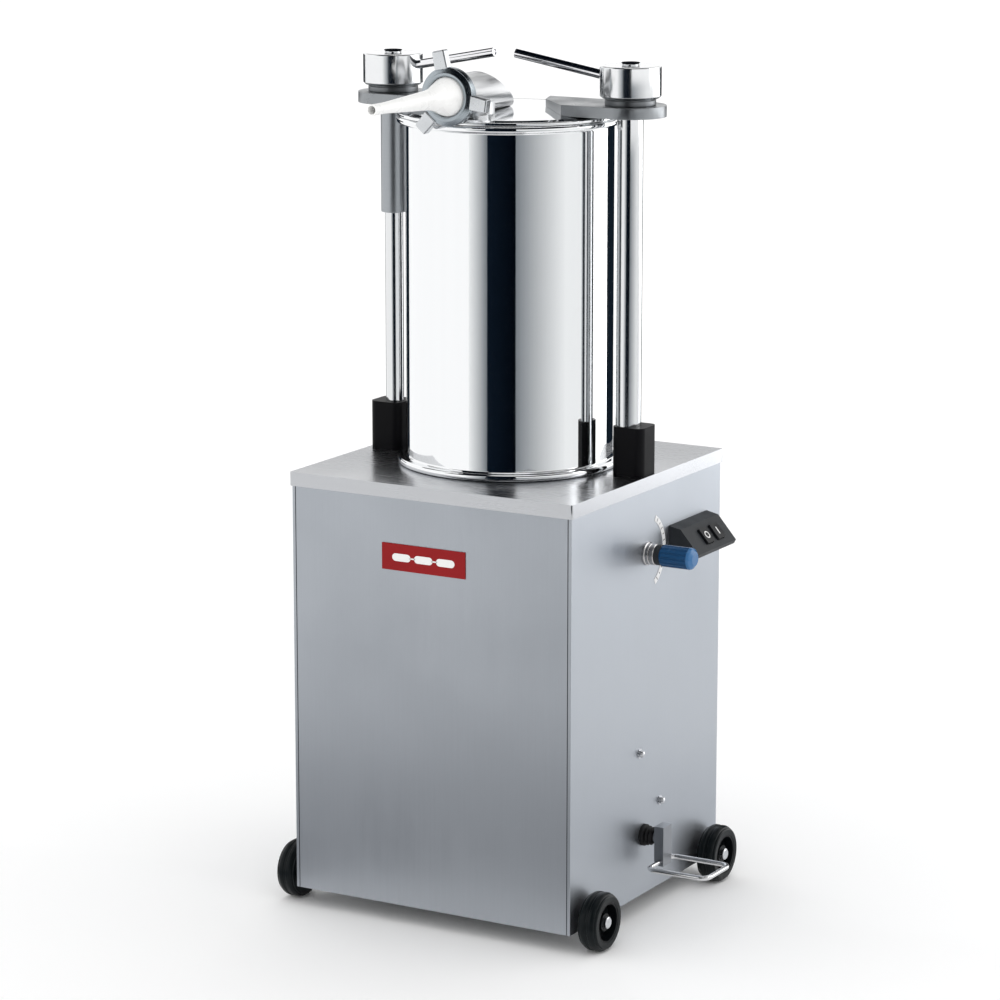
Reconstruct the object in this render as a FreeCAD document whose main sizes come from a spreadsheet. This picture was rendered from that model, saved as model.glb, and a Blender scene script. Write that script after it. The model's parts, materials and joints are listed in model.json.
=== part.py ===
import FreeCAD
import Part
import Sketcher
import math
import os
import re

# Hydraulic sausage stuffer on wheels.
#
# A sheet-metal cabinet holds the oil tank, motor, pump and ram. The ram pushes a piston up
# a polished meat cylinder, whose lid swings on the left column and is clamped by two screw
# knobs on the column studs. The lid's outlet carries a filling nozzle held by a ring nut.
#
# Frame: millimetres, +Z up, floor at z = 0, cylinder axis at x = y = 0. The nozzle points to
# the front (-Y) and the controls are on the right-hand face (+X).

# Driving dimensions: alias, value in mm (or degrees), meaning.
SIZES = [
    # cabinet and cover
    ("cab_half", 215.0, "half the cabinet's width and depth"),
    ("cab_low", 27.0, "cabinet's bottom edge above the floor"),
    ("sheet_thick", 2.0, "cabinet and cover sheet"),
    ("hole_run", 0.2, "clearance of a plain hole round a fixed rod or column"),
    ("stem_gap", 3.0, "gap round the valve stem where it leaves the cabinet"),
    ("knee_gap", 2.0, "gap round the knee shaft where it leaves the cabinet"),
    ("cover_half", 217.5, "half the cover's width and depth"),
    ("cover_round", 2.5, "rounding of the cover's upright edges"),
    ("cover_top", 612.0, "work surface above the floor"),
    ("skirt_deep", 19.0, "cover's turned-down edge"),
    ("cover_hole", 33.0, "hole in the cover for the rod gland"),
    ("tray_half", 212.0, "half the width of the base tray"),
    ("tray_low", 27.0, "underside of the base tray"),
    ("tray_deep", 40.0, "height of the base tray's sides"),
    ("tray_floor", 2.5, "thickness of the tray's floor"),
    ("tray_wall", 4.0, "thickness of the tray's sides"),
    ("panel_half", 180.0, "half the service panel's width"),
    ("panel_low", 80.0, "service panel's lower edge"),
    ("panel_top", 560.0, "service panel's upper edge"),
    ("panel_lap", 15.0, "how far the panel laps over its window"),
    ("panel_thick", 1.5, "service panel sheet"),
    ("louvre_half", 110.0, "half the length of a cooling slot"),
    ("louvre_high", 8.0, "height of a cooling slot"),
    ("louvre_low", 378.0, "underside of the lowest cooling slot"),
    ("louvre_pitch", 20.0, "spacing of the cooling slots"),
    ("screw_side", 8.0, "panel screws, in from the panel's sides"),
    ("screw_end", 10.0, "panel screws, in from its upper and lower edges"),
    ("screw_rad", 4.5, "panel screw head radius"),
    ("screw_flat", 2.5, "radius of the flat on a screw head"),
    ("screw_rim", 0.8, "height of a screw head's rim"),
    ("screw_high", 2.4, "height of a screw head"),
    ("cord_x", -130.0, "cable gland, sideways"),
    ("cord_z", 120.0, "cable gland above the floor"),
    ("cord_rad", 4.2, "cable gland's bore"),
    ("cord_shank", 8.0, "cable gland's shank radius"),
    ("cord_in", 10.0, "how far the cable gland reaches in"),
    ("cord_nut", 11.0, "cable gland's nut radius"),
    ("cord_nut_end", 7.0, "outer face of the cable gland's nut"),
    ("cord_tip", 7.0, "radius of the cable gland's tip"),
    ("cord_out", 15.0, "how far the cable gland stands out"),
    # wheels
    ("wheel_in", 223.0, "wheel's inner face from the middle"),
    ("wheel_wide", 29.5, "wheel width"),
    ("wheel_rad", 40.0, "wheel radius"),
    ("wheel_y", 174.0, "wheel axles in front of and behind the middle"),
    ("tread_in", 28.0, "radius where the tyre sits on its hub"),
    ("tyre_side", 35.0, "radius where a tyre's side meets its shoulder"),
    ("tyre_inset", 1.0, "tyre's inner edge, in from the wheel's faces"),
    ("tyre_bulge", 0.5, "tyre's side, in from the wheel's faces"),
    ("step_drop", 1.5, "depth of the step in a tyre's shoulder"),
    ("step_in", 3.0, "shoulder's step, in from the wheel's faces"),
    ("tread_edge", 7.0, "tread's edge, in from the wheel's faces"),
    ("hub_inset", 2.0, "hub's rim, in from the wheel's faces"),
    ("hub_wall", 3.0, "hub's rim, where it meets the dish"),
    ("dish_wall", 4.0, "hub's rim at the bottom of the dish"),
    ("web_in", 9.0, "inner face of the hub's web"),
    ("web_out", 15.0, "outer face of the hub's web"),
    ("axle_rad", 6.0, "stub axle radius"),
    ("axle_run", 0.05, "running clearance of a wheel on its axle"),
    ("boss_rad", 12.0, "hub boss radius"),
    ("boss_long", 23.3, "hub boss length"),
    ("axle_nut_rad", 10.0, "axle nut radius"),
    ("axle_nut_in", 27.0, "axle nut's inner end, in from the wheel"),
    ("axle_nut_out", 15.0, "axle nut's outer end, in from the wheel"),
    ("spacer_rad", 11.0, "spacer between a wheel and the cabinet"),
    ("spacer_long", 8.0, "spacer's length"),
    ("spacer_gap", 0.4, "gap between a spacer and its wheel"),
    ("head_gap", 0.3, "gap between a wheel bolt's head and its hub"),
    ("head_rad", 8.0, "wheel bolt head radius"),
    ("head_flat", 6.5, "radius of the flat on a wheel bolt's head"),
    ("head_side", 4.5, "wheel bolt head, height of its side from the hub"),
    ("head_high", 5.7, "wheel bolt head's height from the hub"),
    # columns
    ("col_x", 183.0, "columns left and right of the cylinder axis"),
    ("left_rad", 12.5, "left column radius"),
    ("right_rad", 17.5, "right column radius"),
    ("stud_rad", 12.0, "radius of the studs that take the knobs"),
    ("col_low", 572.0, "columns' lower ends"),
    ("shoulder_z", 1092.8, "columns' shoulders, under the lid's ears"),
    ("stud_top", 1164.0, "top of the studs"),
    ("stud_chamfer", 1.5, "chamfer on a stud's end"),
    ("block_size", 47.0, "column block width and depth"),
    ("block_high", 66.0, "column block height"),
    ("block_out", 7.0, "column block, outward from its column"),
    ("block_back", 4.0, "column block, backward from its column"),
    ("block_round", 11.0, "column block's upright edges"),
    # meat cylinder and lid
    ("can_rad", 141.0, "meat cylinder's outside radius"),
    ("can_wall", 2.0, "meat cylinder's wall"),
    ("rim_rad", 153.0, "meat cylinder's rims"),
    ("rim_high", 10.0, "height of a rim"),
    ("rim_round", 2.5, "rounding of a rim's edges"),
    ("rim_fillet", 2.0, "fillet between a rim and the wall"),
    ("can_top", 1085.8, "top of the meat cylinder"),
    ("lid_low", 1086.0, "underside of the lid"),
    ("lid_edge", 1091.5, "top of the lid's edge"),
    ("lid_rad", 152.0, "lid radius"),
    ("crown_rad", 140.0, "radius of the lid's raised crown"),
    ("crown_top", 1098.5, "top of the lid's crown"),
    ("lid_chamfer", 1.0, "chamfer on the lid's edge"),
    ("crown_overlap", 5.0, "how far the crown's core reaches past it"),
    ("gasket_in", 138.0, "lid gasket's inner radius"),
    ("gasket_out", 149.0, "lid gasket's outer radius"),
    ("gasket_high", 3.0, "lid gasket's height"),
    ("arm_low", 1093.0, "underside of the lid's arms"),
    ("arm_top", 1108.0, "top of the lid's arms"),
    ("ear_rad", 48.0, "ears round the columns, and half the arms' width"),
    ("ear_run", 0.6, "clearance of the left ear round its stud"),
    ("slot_past", 10.0, "how far the slot's cutter passes the ear"),
    ("arm_back_x", 35.0, "inner end of an arm at its back edge"),
    ("arm_front_x", 105.0, "inner end of an arm at its front edge"),
    ("arm_tip_x", 49.0, "tip of an arm's inner end, across"),
    ("arm_tip_y", 11.0, "tip of an arm's inner end, from the columns' line"),
    ("slot_half", 13.5, "half the width of the right ear's slot"),
    ("slot_turn", 3.7, "slot's lean, along the path of the swinging lid, degrees"),
    ("sleeve_rad", 17.5, "lid's hinge sleeve"),
    ("sleeve_run", 0.06, "running clearance of the sleeve on the left column"),
    ("sleeve_low", 942.0, "lower end of the hinge sleeve"),
    # outlet, nut and nozzle
    ("outlet_z", 1124.0, "outlet axis above the floor"),
    ("outlet_rad", 27.0, "outlet pipe's outside radius"),
    ("outlet_bore", 18.0, "outlet pipe's bore"),
    ("outlet_hole_y", -88.0, "where the outlet goes down through the lid"),
    ("outlet_back", -12.0, "back end of the outlet"),
    ("outlet_end", -159.0, "front face of the outlet"),
    ("stub_rad", 24.0, "round stub between the outlet pipe and the lid"),
    ("bevel_run", 1.4, "run of the outlet's sloping back for each unit of rise"),
    ("bevel_toe", 4.0, "outlet's slope starts this high on the arms"),
    ("bevel_peak", 72.0, "top of the slope's cutter, above the outlet axis"),
    ("bevel_past", 40.0, "how far the slope's cutter passes the outlet's back"),
    ("thread_rad", 30.0, "outlet's threaded collar"),
    ("thread_long", 18.0, "length of the threaded collar"),
    ("nut_rad", 38.5, "ring nut's outside radius"),
    ("nut_back", -154.0, "back face of the ring nut"),
    ("nut_front", -170.0, "front face of the ring nut"),
    ("nut_lip", -164.0, "inner face of the nut's lip"),
    ("nut_hole", 26.6, "hole through the nut's lip"),
    ("nut_chamfer", 2.0, "chamfers on the ring nut"),
    ("nut_run", 0.4, "clearance of the nut round the collar"),
    ("lug_root", 3.0, "how deep a lug is let into the ring"),
    ("lug_reach", 61.0, "reach of the nut's lugs"),
    ("lug_half", 10.0, "half the width of a lug"),
    ("lug_back", -155.5, "back face of the lugs"),
    ("lug_front", -168.5, "front face of the lugs"),
    ("nozzle_flange", 29.4, "nozzle flange radius"),
    ("nozzle_gap", 0.3, "gap on each face of the nozzle's flange"),
    ("nozzle_bore", 20.0, "nozzle's bore at its base"),
    ("neck_rad", 26.2, "nozzle's neck in the nut"),
    ("neck_long", 5.0, "length of the neck's end inside the nut's front"),
    ("mouth_rad", 24.5, "nozzle's radius at the nut's front"),
    ("cone_rad", 16.0, "nozzle's radius at the end of its first cone"),
    ("cone_long", 26.0, "length of the first cone"),
    ("waist_rad", 13.0, "nozzle's radius where its long taper starts"),
    ("waist_bore", 10.8, "nozzle's bore where its long taper starts"),
    ("waist_long", 42.0, "long taper's start, from the nut's front"),
    ("nozzle_tip_rad", 7.2, "outside radius of the nozzle's straight tip"),
    ("nozzle_tip_y", -352.0, "nozzle's tip"),
    ("nozzle_tip_long", 30.0, "length of the nozzle's straight tip"),
    ("nozzle_wall", 1.8, "nozzle's wall at the tip"),
    # clamping knobs
    ("knob_rad", 41.0, "knob radius"),
    ("knob_low", 1117.0, "underside of the knobs"),
    ("knob_top", 1160.0, "top of the knobs"),
    ("knob_foot", 4.0, "knob's lower chamfer, inward"),
    ("knob_foot_high", 3.5, "knob's lower chamfer, upward"),
    ("knob_chamfer", 1.5, "chamfer round a knob's top"),
    ("knob_run", 0.06, "running clearance on a stud"),
    ("washer_rad", 34.0, "thrust washer radius"),
    ("washer_low", 1108.3, "underside of the thrust washers"),
    ("washer_top", 1116.7, "top of the thrust washers"),
    ("rod_rad", 6.2, "lever rod radius"),
    ("rod_in", 22.0, "lever rod's inner end, from the knob's axis"),
    ("rod_reach", 167.0, "lever rod's tip, from the knob's axis"),
    ("rod_rise", 10.5, "lever rod's upward slope, degrees"),
    ("rod_z", 1146.0, "lever rod's axis where it leaves the knob"),
    ("left_heading", -4.0, "left lever's heading from +X, degrees"),
    ("right_heading", 184.5, "right lever's heading from +X, degrees"),
    # ram and piston
    ("piston_rad", 138.7, "piston radius"),
    ("piston_low", 632.0, "underside of the lowered piston"),
    ("piston_high", 20.0, "piston thickness"),
    ("groove_low", 6.0, "seal groove, above the piston's underside"),
    ("groove_high", 8.0, "height of the seal groove"),
    ("spigot_rad", 12.0, "rod's spigot in the piston"),
    ("spigot_cover", 6.0, "metal of the piston over the spigot"),
    ("seal_in", 132.0, "bottom of the piston's seal groove"),
    ("rod_main", 20.0, "piston rod radius"),
    ("rod_run", 0.05, "running clearance of the rod in its gland"),
    ("ram_rad", 42.0, "ram barrel's outside radius"),
    ("ram_bore", 35.0, "ram barrel's bore"),
    ("ram_low", 112.0, "lower end of the ram barrel"),
    ("ram_piston_low", 130.0, "underside of the lowered ram piston"),
    ("ram_piston_high", 25.0, "ram piston's length"),
    ("ram_piston_rad", 34.7, "ram piston's radius"),
    ("cap_half", 65.0, "half the ram end cap's width"),
    ("cap_high", 16.0, "ram end cap's thickness"),
    ("tie_at", 52.0, "tie rods from the ram's axis, both ways"),
    ("tie_rad", 5.0, "tie rod radius"),
    ("bed_low", 595.0, "underside of the bed plate"),
    ("bed_half_x", 205.0, "half the bed plate's width"),
    ("bed_half_y", 100.0, "half the bed plate's depth"),
    ("gland_rad", 32.0, "rod gland's sleeve"),
    ("gland_flange", 46.0, "rod gland's flange"),
    ("gland_deep", 17.0, "rod gland, below the bed plate's underside"),
    ("gland_lip", 6.0, "thickness of the gland's flange"),
    ("gland_high", 10.0, "height of the gland above the cover"),
    ("tie_nut_rad", 9.0, "tie rod nut radius"),
    ("tie_nut_high", 9.0, "tie rod nut height"),
    ("tie_over", 13.0, "tie rod's reach into the bed plate"),
    ("column_nut_wall", 10.0, "wall of a column nut"),
    ("column_nut_high", 18.0, "height of a column nut"),
    # power pack
    ("tank_wall", 3.0, "oil tank's wall"),
    ("tank_left", -206.0, "oil tank's left side"),
    ("tank_right", -74.0, "oil tank's right side"),
    ("tank_half_y", 155.0, "half the oil tank's depth"),
    ("tank_top", 330.0, "oil tank's top"),
    ("motor_x", 135.0, "motor axis, to the right"),
    ("motor_y", 110.0, "motor axis, to the back"),
    ("motor_rad", 68.0, "motor housing radius"),
    ("motor_low", 133.0, "underside of the motor"),
    ("motor_top", 345.0, "top of the fan cowl"),
    ("stator_wall", 8.0, "motor housing's wall"),
    ("cowl_wall", 4.0, "fan cowl's wall"),
    ("shield_low", 10.0, "thickness of the motor's lower end shield"),
    ("shield_top_in", 47.0, "upper end shield's inner face, below the cowl's top"),
    ("shield_top_out", 37.0, "upper end shield's outer face, below the cowl's top"),
    ("shaft_low", 62.0, "lower end of the motor shaft"),
    ("core_rad", 56.0, "rotor core and fan radius"),
    ("core_low", 163.0, "underside of the rotor core"),
    ("core_top", 278.0, "top of the rotor core"),
    ("fan_neck", 315.0, "underside of the fan at the shaft"),
    ("fan_low", 317.0, "underside of the fan at its rim"),
    ("fan_top", 333.0, "top of the fan at its rim"),
    ("fan_lip", 54.0, "inner radius of the fan's rim"),
    ("fan_dish", 325.0, "bottom of the fan's dish"),
    ("fan_hub_out", 14.0, "fan hub's outer radius"),
    ("fan_hub_in", 12.0, "fan hub's top radius"),
    ("fan_hub_top", 337.0, "top of the fan hub"),
    ("shaft_rad", 8.0, "motor shaft radius"),
    ("shaft_run", 0.06, "running clearance of the motor shaft"),
    ("pump_half", 45.0, "half the pump's width"),
    ("pump_top", 103.0, "top of the pump"),
    ("bell_out", 52.0, "pump bell's outer radius"),
    ("bell_in", 44.0, "pump bell's inner radius"),
    ("pump_bore_low", 60.0, "bottom of the pump's bore"),
    ("pipe_rad", 5.0, "oil pipe radius"),
    ("pump_pipe_x", 170.0, "pump's pipe, sideways"),
    ("pump_pipe_z", 94.0, "pump's pipe above the floor"),
    ("riser_x", 186.0, "riser pipe, sideways"),
    ("ram_pipe_drop", 9.0, "ram's pipe, below the barrel's lower end"),
    # speed valve
    ("dial_y", -4.0, "speed valve's axis, sideways"),
    ("dial_z", 506.0, "speed valve's axis above the floor"),
    ("stem_rad", 5.0, "valve stem radius"),
    ("stem_run", 0.05, "running clearance of the valve stem"),
    ("stem_in", 174.0, "inner end of the valve stem"),
    ("valve_in", 160.0, "speed valve's inner face"),
    ("valve_half_y", 28.0, "half the speed valve's width"),
    ("valve_half_z", 26.0, "half the speed valve's height"),
    ("valve_bore_in", 172.0, "inner end of the speed valve's bore"),
    ("bush_rad", 14.5, "valve bush radius"),
    ("bush_gap", 1.0, "gap between the bush and the stem"),
    ("bush_flange", 16.0, "valve bush's flange radius"),
    ("bush_flange_high", 3.0, "thickness of the bush's flange"),
    ("bush_neck", 4.0, "where the bush's flange ends"),
    ("bush_ring_rad", 13.3, "bottom of the bush's ring groove"),
    ("bush_ring_low", 8.0, "start of the ring groove"),
    ("bush_ring_mid", 9.0, "middle of the ring groove"),
    ("bush_ring_high", 10.0, "end of the ring groove"),
    ("bush_chamfer", 1.0, "chamfer on the bush's end"),
    ("bush_high", 16.0, "how far the bush stands out"),
    ("dial_rad", 15.0, "speed knob radius"),
    ("dial_start", 231.5, "inner end of the speed knob"),
    ("dial_end", 288.0, "outer end of the speed knob"),
    ("dial_neck", 13.5, "radius of the speed knob's collar"),
    ("dial_neck_long", 8.0, "length of the speed knob's collar"),
    ("dial_shoulder", 10.0, "where the speed knob's full radius starts"),
    ("dial_crown", 7.0, "length of the speed knob's rounded end"),
    ("crown_mid_rad", 13.8, "rounded end's radius halfway"),
    ("crown_mid", 4.0, "rounded end halfway, from the tip"),
    ("crown_tip_rad", 10.0, "rounded end's radius near the tip"),
    ("crown_tip", 1.0, "rounded end near the tip"),
    ("dial_solid", 12.0, "solid end of the speed knob, past the stem"),
    ("flute_out", 0.5, "flutes' centres, outside the speed knob's radius"),
    ("flute_rad", 1.6, "flutes of the speed knob"),
    ("scale_mid", 50.0, "mid radius of the curved scale"),
    ("scale_half", 4.0, "half the width of the curved scale"),
    ("scale_sweep", 124.0, "sweep of the curved scale, degrees"),
    ("scale_thick", 0.6, "thickness of the curved scale"),
    # switch box
    ("box_front", 60.0, "switch box's front end"),
    ("box_back", 174.0, "switch box's back end"),
    ("box_top", 532.0, "top of the switch box at the wall"),
    ("box_low", 490.0, "underside of the switch box"),
    ("ledge_x", 233.0, "outer edge of the top ledge"),
    ("ledge_z", 528.0, "height of the ledge's outer edge"),
    ("lip_x", 261.0, "panel's lower edge, outward"),
    ("lip_z", 495.5, "panel's lower edge, height"),
    ("lip_back", 3.0, "how far the underside is set back from the lip"),
    ("button_half_y", 11.0, "half a button's width"),
    ("button_half_u", 12.0, "half a button's height, down the slope"),
    ("button_proud", 3.5, "how far a button stands out"),
    ("button_deep", 7.0, "how far a button reaches in"),
    ("pocket_deep", 11.0, "depth of a button's pocket"),
    ("pocket_past", 5.0, "how far a pocket's cutter passes the panel"),
    ("button_round", 2.5, "rounding of a button's corners"),
    ("button_gap", 0.5, "gap round a button"),
    ("start_y", 140.0, "start button"),
    ("stop_y", 108.0, "stop button"),
    # knee lever
    ("knee_y", -7.0, "knee lever's shaft, sideways"),
    ("knee_z", 112.0, "knee lever's shaft above the floor"),
    ("knee_rad", 7.0, "knee lever's shaft radius"),
    ("knee_run", 0.06, "running clearance of the knee lever's shaft"),
    ("knee_in", 164.0, "inner end of the knee shaft"),
    ("knee_skin", 3.0, "metal left on the bar past the shaft"),
    ("knee_block_in", 150.0, "knee valve's inner face"),
    ("knee_block_half_y", 30.0, "half the knee valve's width"),
    ("knee_block_half_z", 28.0, "half the knee valve's height"),
    ("knee_bore_in", 162.0, "inner end of the knee valve's bore"),
    ("boot_gap", 0.5, "gap between the boot and the shaft"),
    ("boot_base", 15.0, "radius of the boot's base"),
    ("boot_base_high", 4.0, "height of the boot's base"),
    ("boot_fold_one", 11.0, "radius of the boot's first fold"),
    ("boot_fold_one_at", 6.5, "place of the first fold"),
    ("boot_rib_one", 13.5, "radius of the boot's first rib"),
    ("boot_rib_one_at", 9.0, "place of the first rib"),
    ("boot_fold_two", 10.5, "radius of the boot's second fold"),
    ("boot_fold_two_at", 11.5, "place of the second fold"),
    ("boot_rib_two", 12.5, "radius of the boot's second rib"),
    ("boot_rib_two_at", 14.0, "place of the second rib"),
    ("boot_tip", 9.5, "radius of the boot's outer end"),
    ("boot_tip_at", 17.0, "where the boot's outer end starts"),
    ("boot_long", 18.0, "length of the boot"),
    ("bar_in", 238.0, "inner face of the lever bar"),
    ("bar_out", 252.0, "outer face of the lever bar"),
    ("bar_half", 12.0, "half the lever bar's width"),
    ("bar_low", 75.0, "lower end of the lever bar"),
    ("bar_top", 130.0, "upper end of the lever bar"),
    ("loop_z", 81.0, "height of the knee loop"),
    ("loop_in", 246.0, "inner side of the knee loop"),
    ("loop_out", 336.0, "outer side of the knee loop"),
    ("loop_front", -56.0, "front side of the knee loop"),
    ("loop_back", 15.0, "back side of the knee loop"),
    ("wire_rad", 3.3, "knee loop's rod radius"),
    ("loop_bend", 12.0, "bend radius of the knee loop"),
    # small items on the faces
    ("plate_left", -73.0, "front plate's left edge"),
    ("plate_right", 56.0, "front plate's right edge"),
    ("plate_low", 494.5, "front plate's lower edge"),
    ("plate_top", 531.0, "front plate's upper edge"),
    ("plate_thick", 1.2, "front plate's thickness"),
    ("dome_rad", 5.0, "dome nut radius"),
    ("dome_washer_rad", 6.5, "radius of a dome nut's washer"),
    ("dome_washer_high", 1.0, "thickness of a dome nut's washer"),
    ("dome_side", 4.0, "top of a dome nut's straight side"),
    ("dome_shoulder_rad", 3.6, "radius of a dome nut's shoulder"),
    ("dome_shoulder", 6.6, "height of a dome nut's shoulder"),
    ("dome_high", 7.8, "height of a dome nut"),
    ("upper_dome_y", -20.0, "upper dome nut, sideways"),
    ("upper_dome_z", 230.0, "upper dome nut above the floor"),
    ("lower_dome_y", 41.0, "lower dome nut, sideways"),
    ("lower_dome_z", 149.0, "lower dome nut above the floor"),
]
ALIASES = {alias for alias, _, _ in SIZES}

LOUVRES = 6
PANEL_SCREWS = 8
FLUTES = 14
LUG_HEADINGS = (102, 228, 351)

doc = FreeCAD.newDocument("sausage_stuffer")
sheet = doc.addObject("Spreadsheet::Sheet", "Dims")
for row, (alias, size, meaning) in enumerate(SIZES, start=1):
    sheet.set(f"A{row}", meaning)
    sheet.set(f"B{row}", str(size))
    sheet.setAlias(f"B{row}", alias)
doc.recompute()

UP = FreeCAD.Vector(0, 0, 1)
ALONG_X = FreeCAD.Vector(1, 0, 0)
ALONG_Y = FreeCAD.Vector(0, 1, 0)
# Turns that bring a body's own Z axis to the named direction.
TO = {
    "+Z": FreeCAD.Rotation(),
    "+X": FreeCAD.Rotation(ALONG_Y, 90),
    "-X": FreeCAD.Rotation(ALONG_Y, -90),
    "-Y": FreeCAD.Rotation(ALONG_X, 90),
    "+Y": FreeCAD.Rotation(ALONG_X, -90),
}
nodes = []


# ---- helpers ---------------------------------------------------------------------------


def dims(expression):
    """An expression over the sheet's aliases, in the form that setExpression takes."""
    def named(match):
        word = match.group()
        return f"Dims.{word}" if word in ALIASES else word
    return re.sub(r"[a-z][a-z_]*", named, str(expression))


def number(expression):
    """The value of an expression over the sheet's aliases."""
    return float(sheet.evalExpression(dims(expression)))


def bind(thing, **sizes):
    for name, expression in sizes.items():
        thing.setExpression(name, dims(expression))


def place(thing, at, turn=None):
    """Puts a thing at a point given by three expressions, turned about its own origin."""
    thing.Placement = FreeCAD.Placement(FreeCAD.Vector(), turn or FreeCAD.Rotation())
    for letter, expression in zip("xyz", at):
        thing.setExpression(f".Placement.Base.{letter}", dims(expression))
    return thing


def box(label, across, deep, high):
    """A box between two expressions on each axis."""
    thing = doc.addObject("Part::Box", label)
    lows = [low for low, _ in (across, deep, high)]
    spans = [f"({top}) - ({low})" for low, top in (across, deep, high)]
    bind(thing, Length=spans[0], Width=spans[1], Height=spans[2])
    return place(thing, lows)


def cylinder(label, radius, at, length, axis="+Z"):
    thing = doc.addObject("Part::Cylinder", label)
    bind(thing, Radius=radius, Height=length)
    return place(thing, at, TO[axis])


def tube(label, outer, inner, at, length, axis="+Z"):
    return cut(label, cylinder(label + "_skin", outer, at, length, axis),
               cylinder(label + "_bore", inner, at, length, axis))


def cut(label, base, *tools):
    thing = doc.addObject("Part::Cut", label)
    thing.Base = base
    thing.Tool = tools[0] if len(tools) == 1 else join(label + "_tools", *tools)
    return thing


def join(label, *parts):
    thing = doc.addObject("Part::MultiFuse", label)
    thing.Shapes = list(parts)
    return thing


def overlap(label, one, other):
    thing = doc.addObject("Part::MultiCommon", label)
    thing.Shapes = [one, other]
    return thing


def group(label, *parts):
    """Several separate solids in one node."""
    thing = doc.addObject("Part::Compound", label)
    thing.Links = list(parts)
    return thing


def plane_of(body, role):
    return next(f for f in body.Origin.OriginFeatures if f.Role == role)


def outline(body, role, corners):
    """A closed sketch of straight lines on an origin plane, each corner two expressions."""
    sketch = body.newObject("Sketcher::SketchObject", body.Name + "_outline")
    sketch.AttachmentSupport = [(plane_of(body, role), "")]
    sketch.MapMode = "FlatFace"
    points = [FreeCAD.Vector(number(u), number(v), 0) for u, v in corners]
    count = len(points)
    for i, point in enumerate(points):
        sketch.addGeometry(Part.LineSegment(point, points[(i + 1) % count]), False)
    for i in range(count):
        sketch.addConstraint(Sketcher.Constraint("Coincident", i, 2, (i + 1) % count, 1))
    for i, corner in enumerate(corners):
        for kind, expression in zip(("DistanceX", "DistanceY"), corner):
            start = number(expression)
            index = sketch.addConstraint(Sketcher.Constraint(kind, -1, 1, i, 1, start))
            sketch.setExpression(f"Constraints[{index}]", dims(expression))
    return sketch


def turned(label, profile, at=("0", "0", "0"), axis="+Z"):
    """A turned piece: its profile is (radius, height) pairs about its own axis."""
    body = doc.addObject("PartDesign::Body", label)
    sketch = outline(body, "XZ_Plane", profile)
    turn = body.newObject("PartDesign::Revolution", label + "_turned")
    turn.Profile = sketch
    turn.ReferenceAxis = (sketch, ["V_Axis"])
    turn.Angle = 360.0
    sketch.Visibility = False
    return place(body, at, TO[axis])


def padded(label, role, corners, length, at=("0", "0", "0"), turn=None):
    """A plate: an outline on an origin plane, padded along that plane's normal."""
    body = doc.addObject("PartDesign::Body", label)
    sketch = outline(body, role, corners)
    pad = body.newObject("PartDesign::Pad", label + "_pad")
    pad.Profile = sketch
    bind(pad, Length=length)
    sketch.Visibility = False
    return place(body, at, turn)


def round_edges(body, radius, wanted):
    """Fillets the edges of a body's last feature that pass a test."""
    doc.recompute()
    base = body.Tip
    names = [f"Edge{i}" for i, edge in enumerate(base.Shape.Edges, start=1) if wanted(edge)]
    fillet = body.newObject("PartDesign::Fillet", body.Name + "_rounded")
    fillet.Base = (base, names)
    bind(fillet, Radius=radius)
    return body


def upright(edge):
    ends = [v.Point for v in edge.Vertexes]
    return len(ends) == 2 and (ends[0] - ends[1]).cross(UP).Length < 1e-6


def keep(thing):
    """Marks a finished piece as a node of the model."""
    nodes.append(thing)
    return thing


# ---- cabinet ---------------------------------------------------------------------------


def make_cabinet():
    inner = "cab_half - sheet_thick"
    low, top = "cab_low", "cover_top - sheet_thick"
    skin = box("shell_skin", ("-cab_half", "cab_half"), ("-cab_half", "cab_half"), (low, top))
    room = box("shell_room", (f"-({inner})", inner), (f"-({inner})", inner), (low, top))
    window = "panel_half - panel_lap"
    holes = [
        box("shell_window", (f"-({window})", window), ("0", "cab_half"),
            ("panel_low + panel_lap", "panel_top - panel_lap")),
        cylinder("shell_stem_hole", "stem_rad + stem_gap", ("0", "dial_y", "dial_z"), "cab_half", "+X"),
        cylinder("shell_knee_hole", "knee_rad + knee_gap", ("0", "knee_y", "knee_z"), "cab_half", "+X"),
    ]
    for name, y in (("front", "-wheel_y"), ("rear", "wheel_y")):
        holes.append(cylinder(f"shell_axle_hole_{name}", "axle_rad + hole_run",
                              ("-cab_half", y, "wheel_rad"), "2 * cab_half", "+X"))
    keep(cut("cabinet_shell", skin, room, *holes))


def make_cover():
    low = "cover_top - skirt_deep"
    skin = padded("cover_skin", "XY_Plane",
                  [("-cover_half", "-cover_half"), ("cover_half", "-cover_half"),
                   ("cover_half", "cover_half"), ("-cover_half", "cover_half")],
                  "skirt_deep", ("0", "0", low))
    round_edges(skin, "cover_round", upright)
    inner = "cover_half - sheet_thick"
    room = box("cover_room", (f"-({inner})", inner), (f"-({inner})", inner),
               (low, "cover_top - sheet_thick"))
    holes = [cylinder("cover_gland_hole", "cover_hole", ("0", "0", low), "skirt_deep")]
    for side, x, radius in column_sides():
        holes.append(cylinder(f"cover_{side}_hole", f"{radius} + hole_run", (x, "0", low), "skirt_deep"))
    keep(cut("top_cover", skin, room, *holes))


def column_sides():
    return (("left", "-col_x", "left_rad"), ("right", "col_x", "right_rad"))


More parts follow.
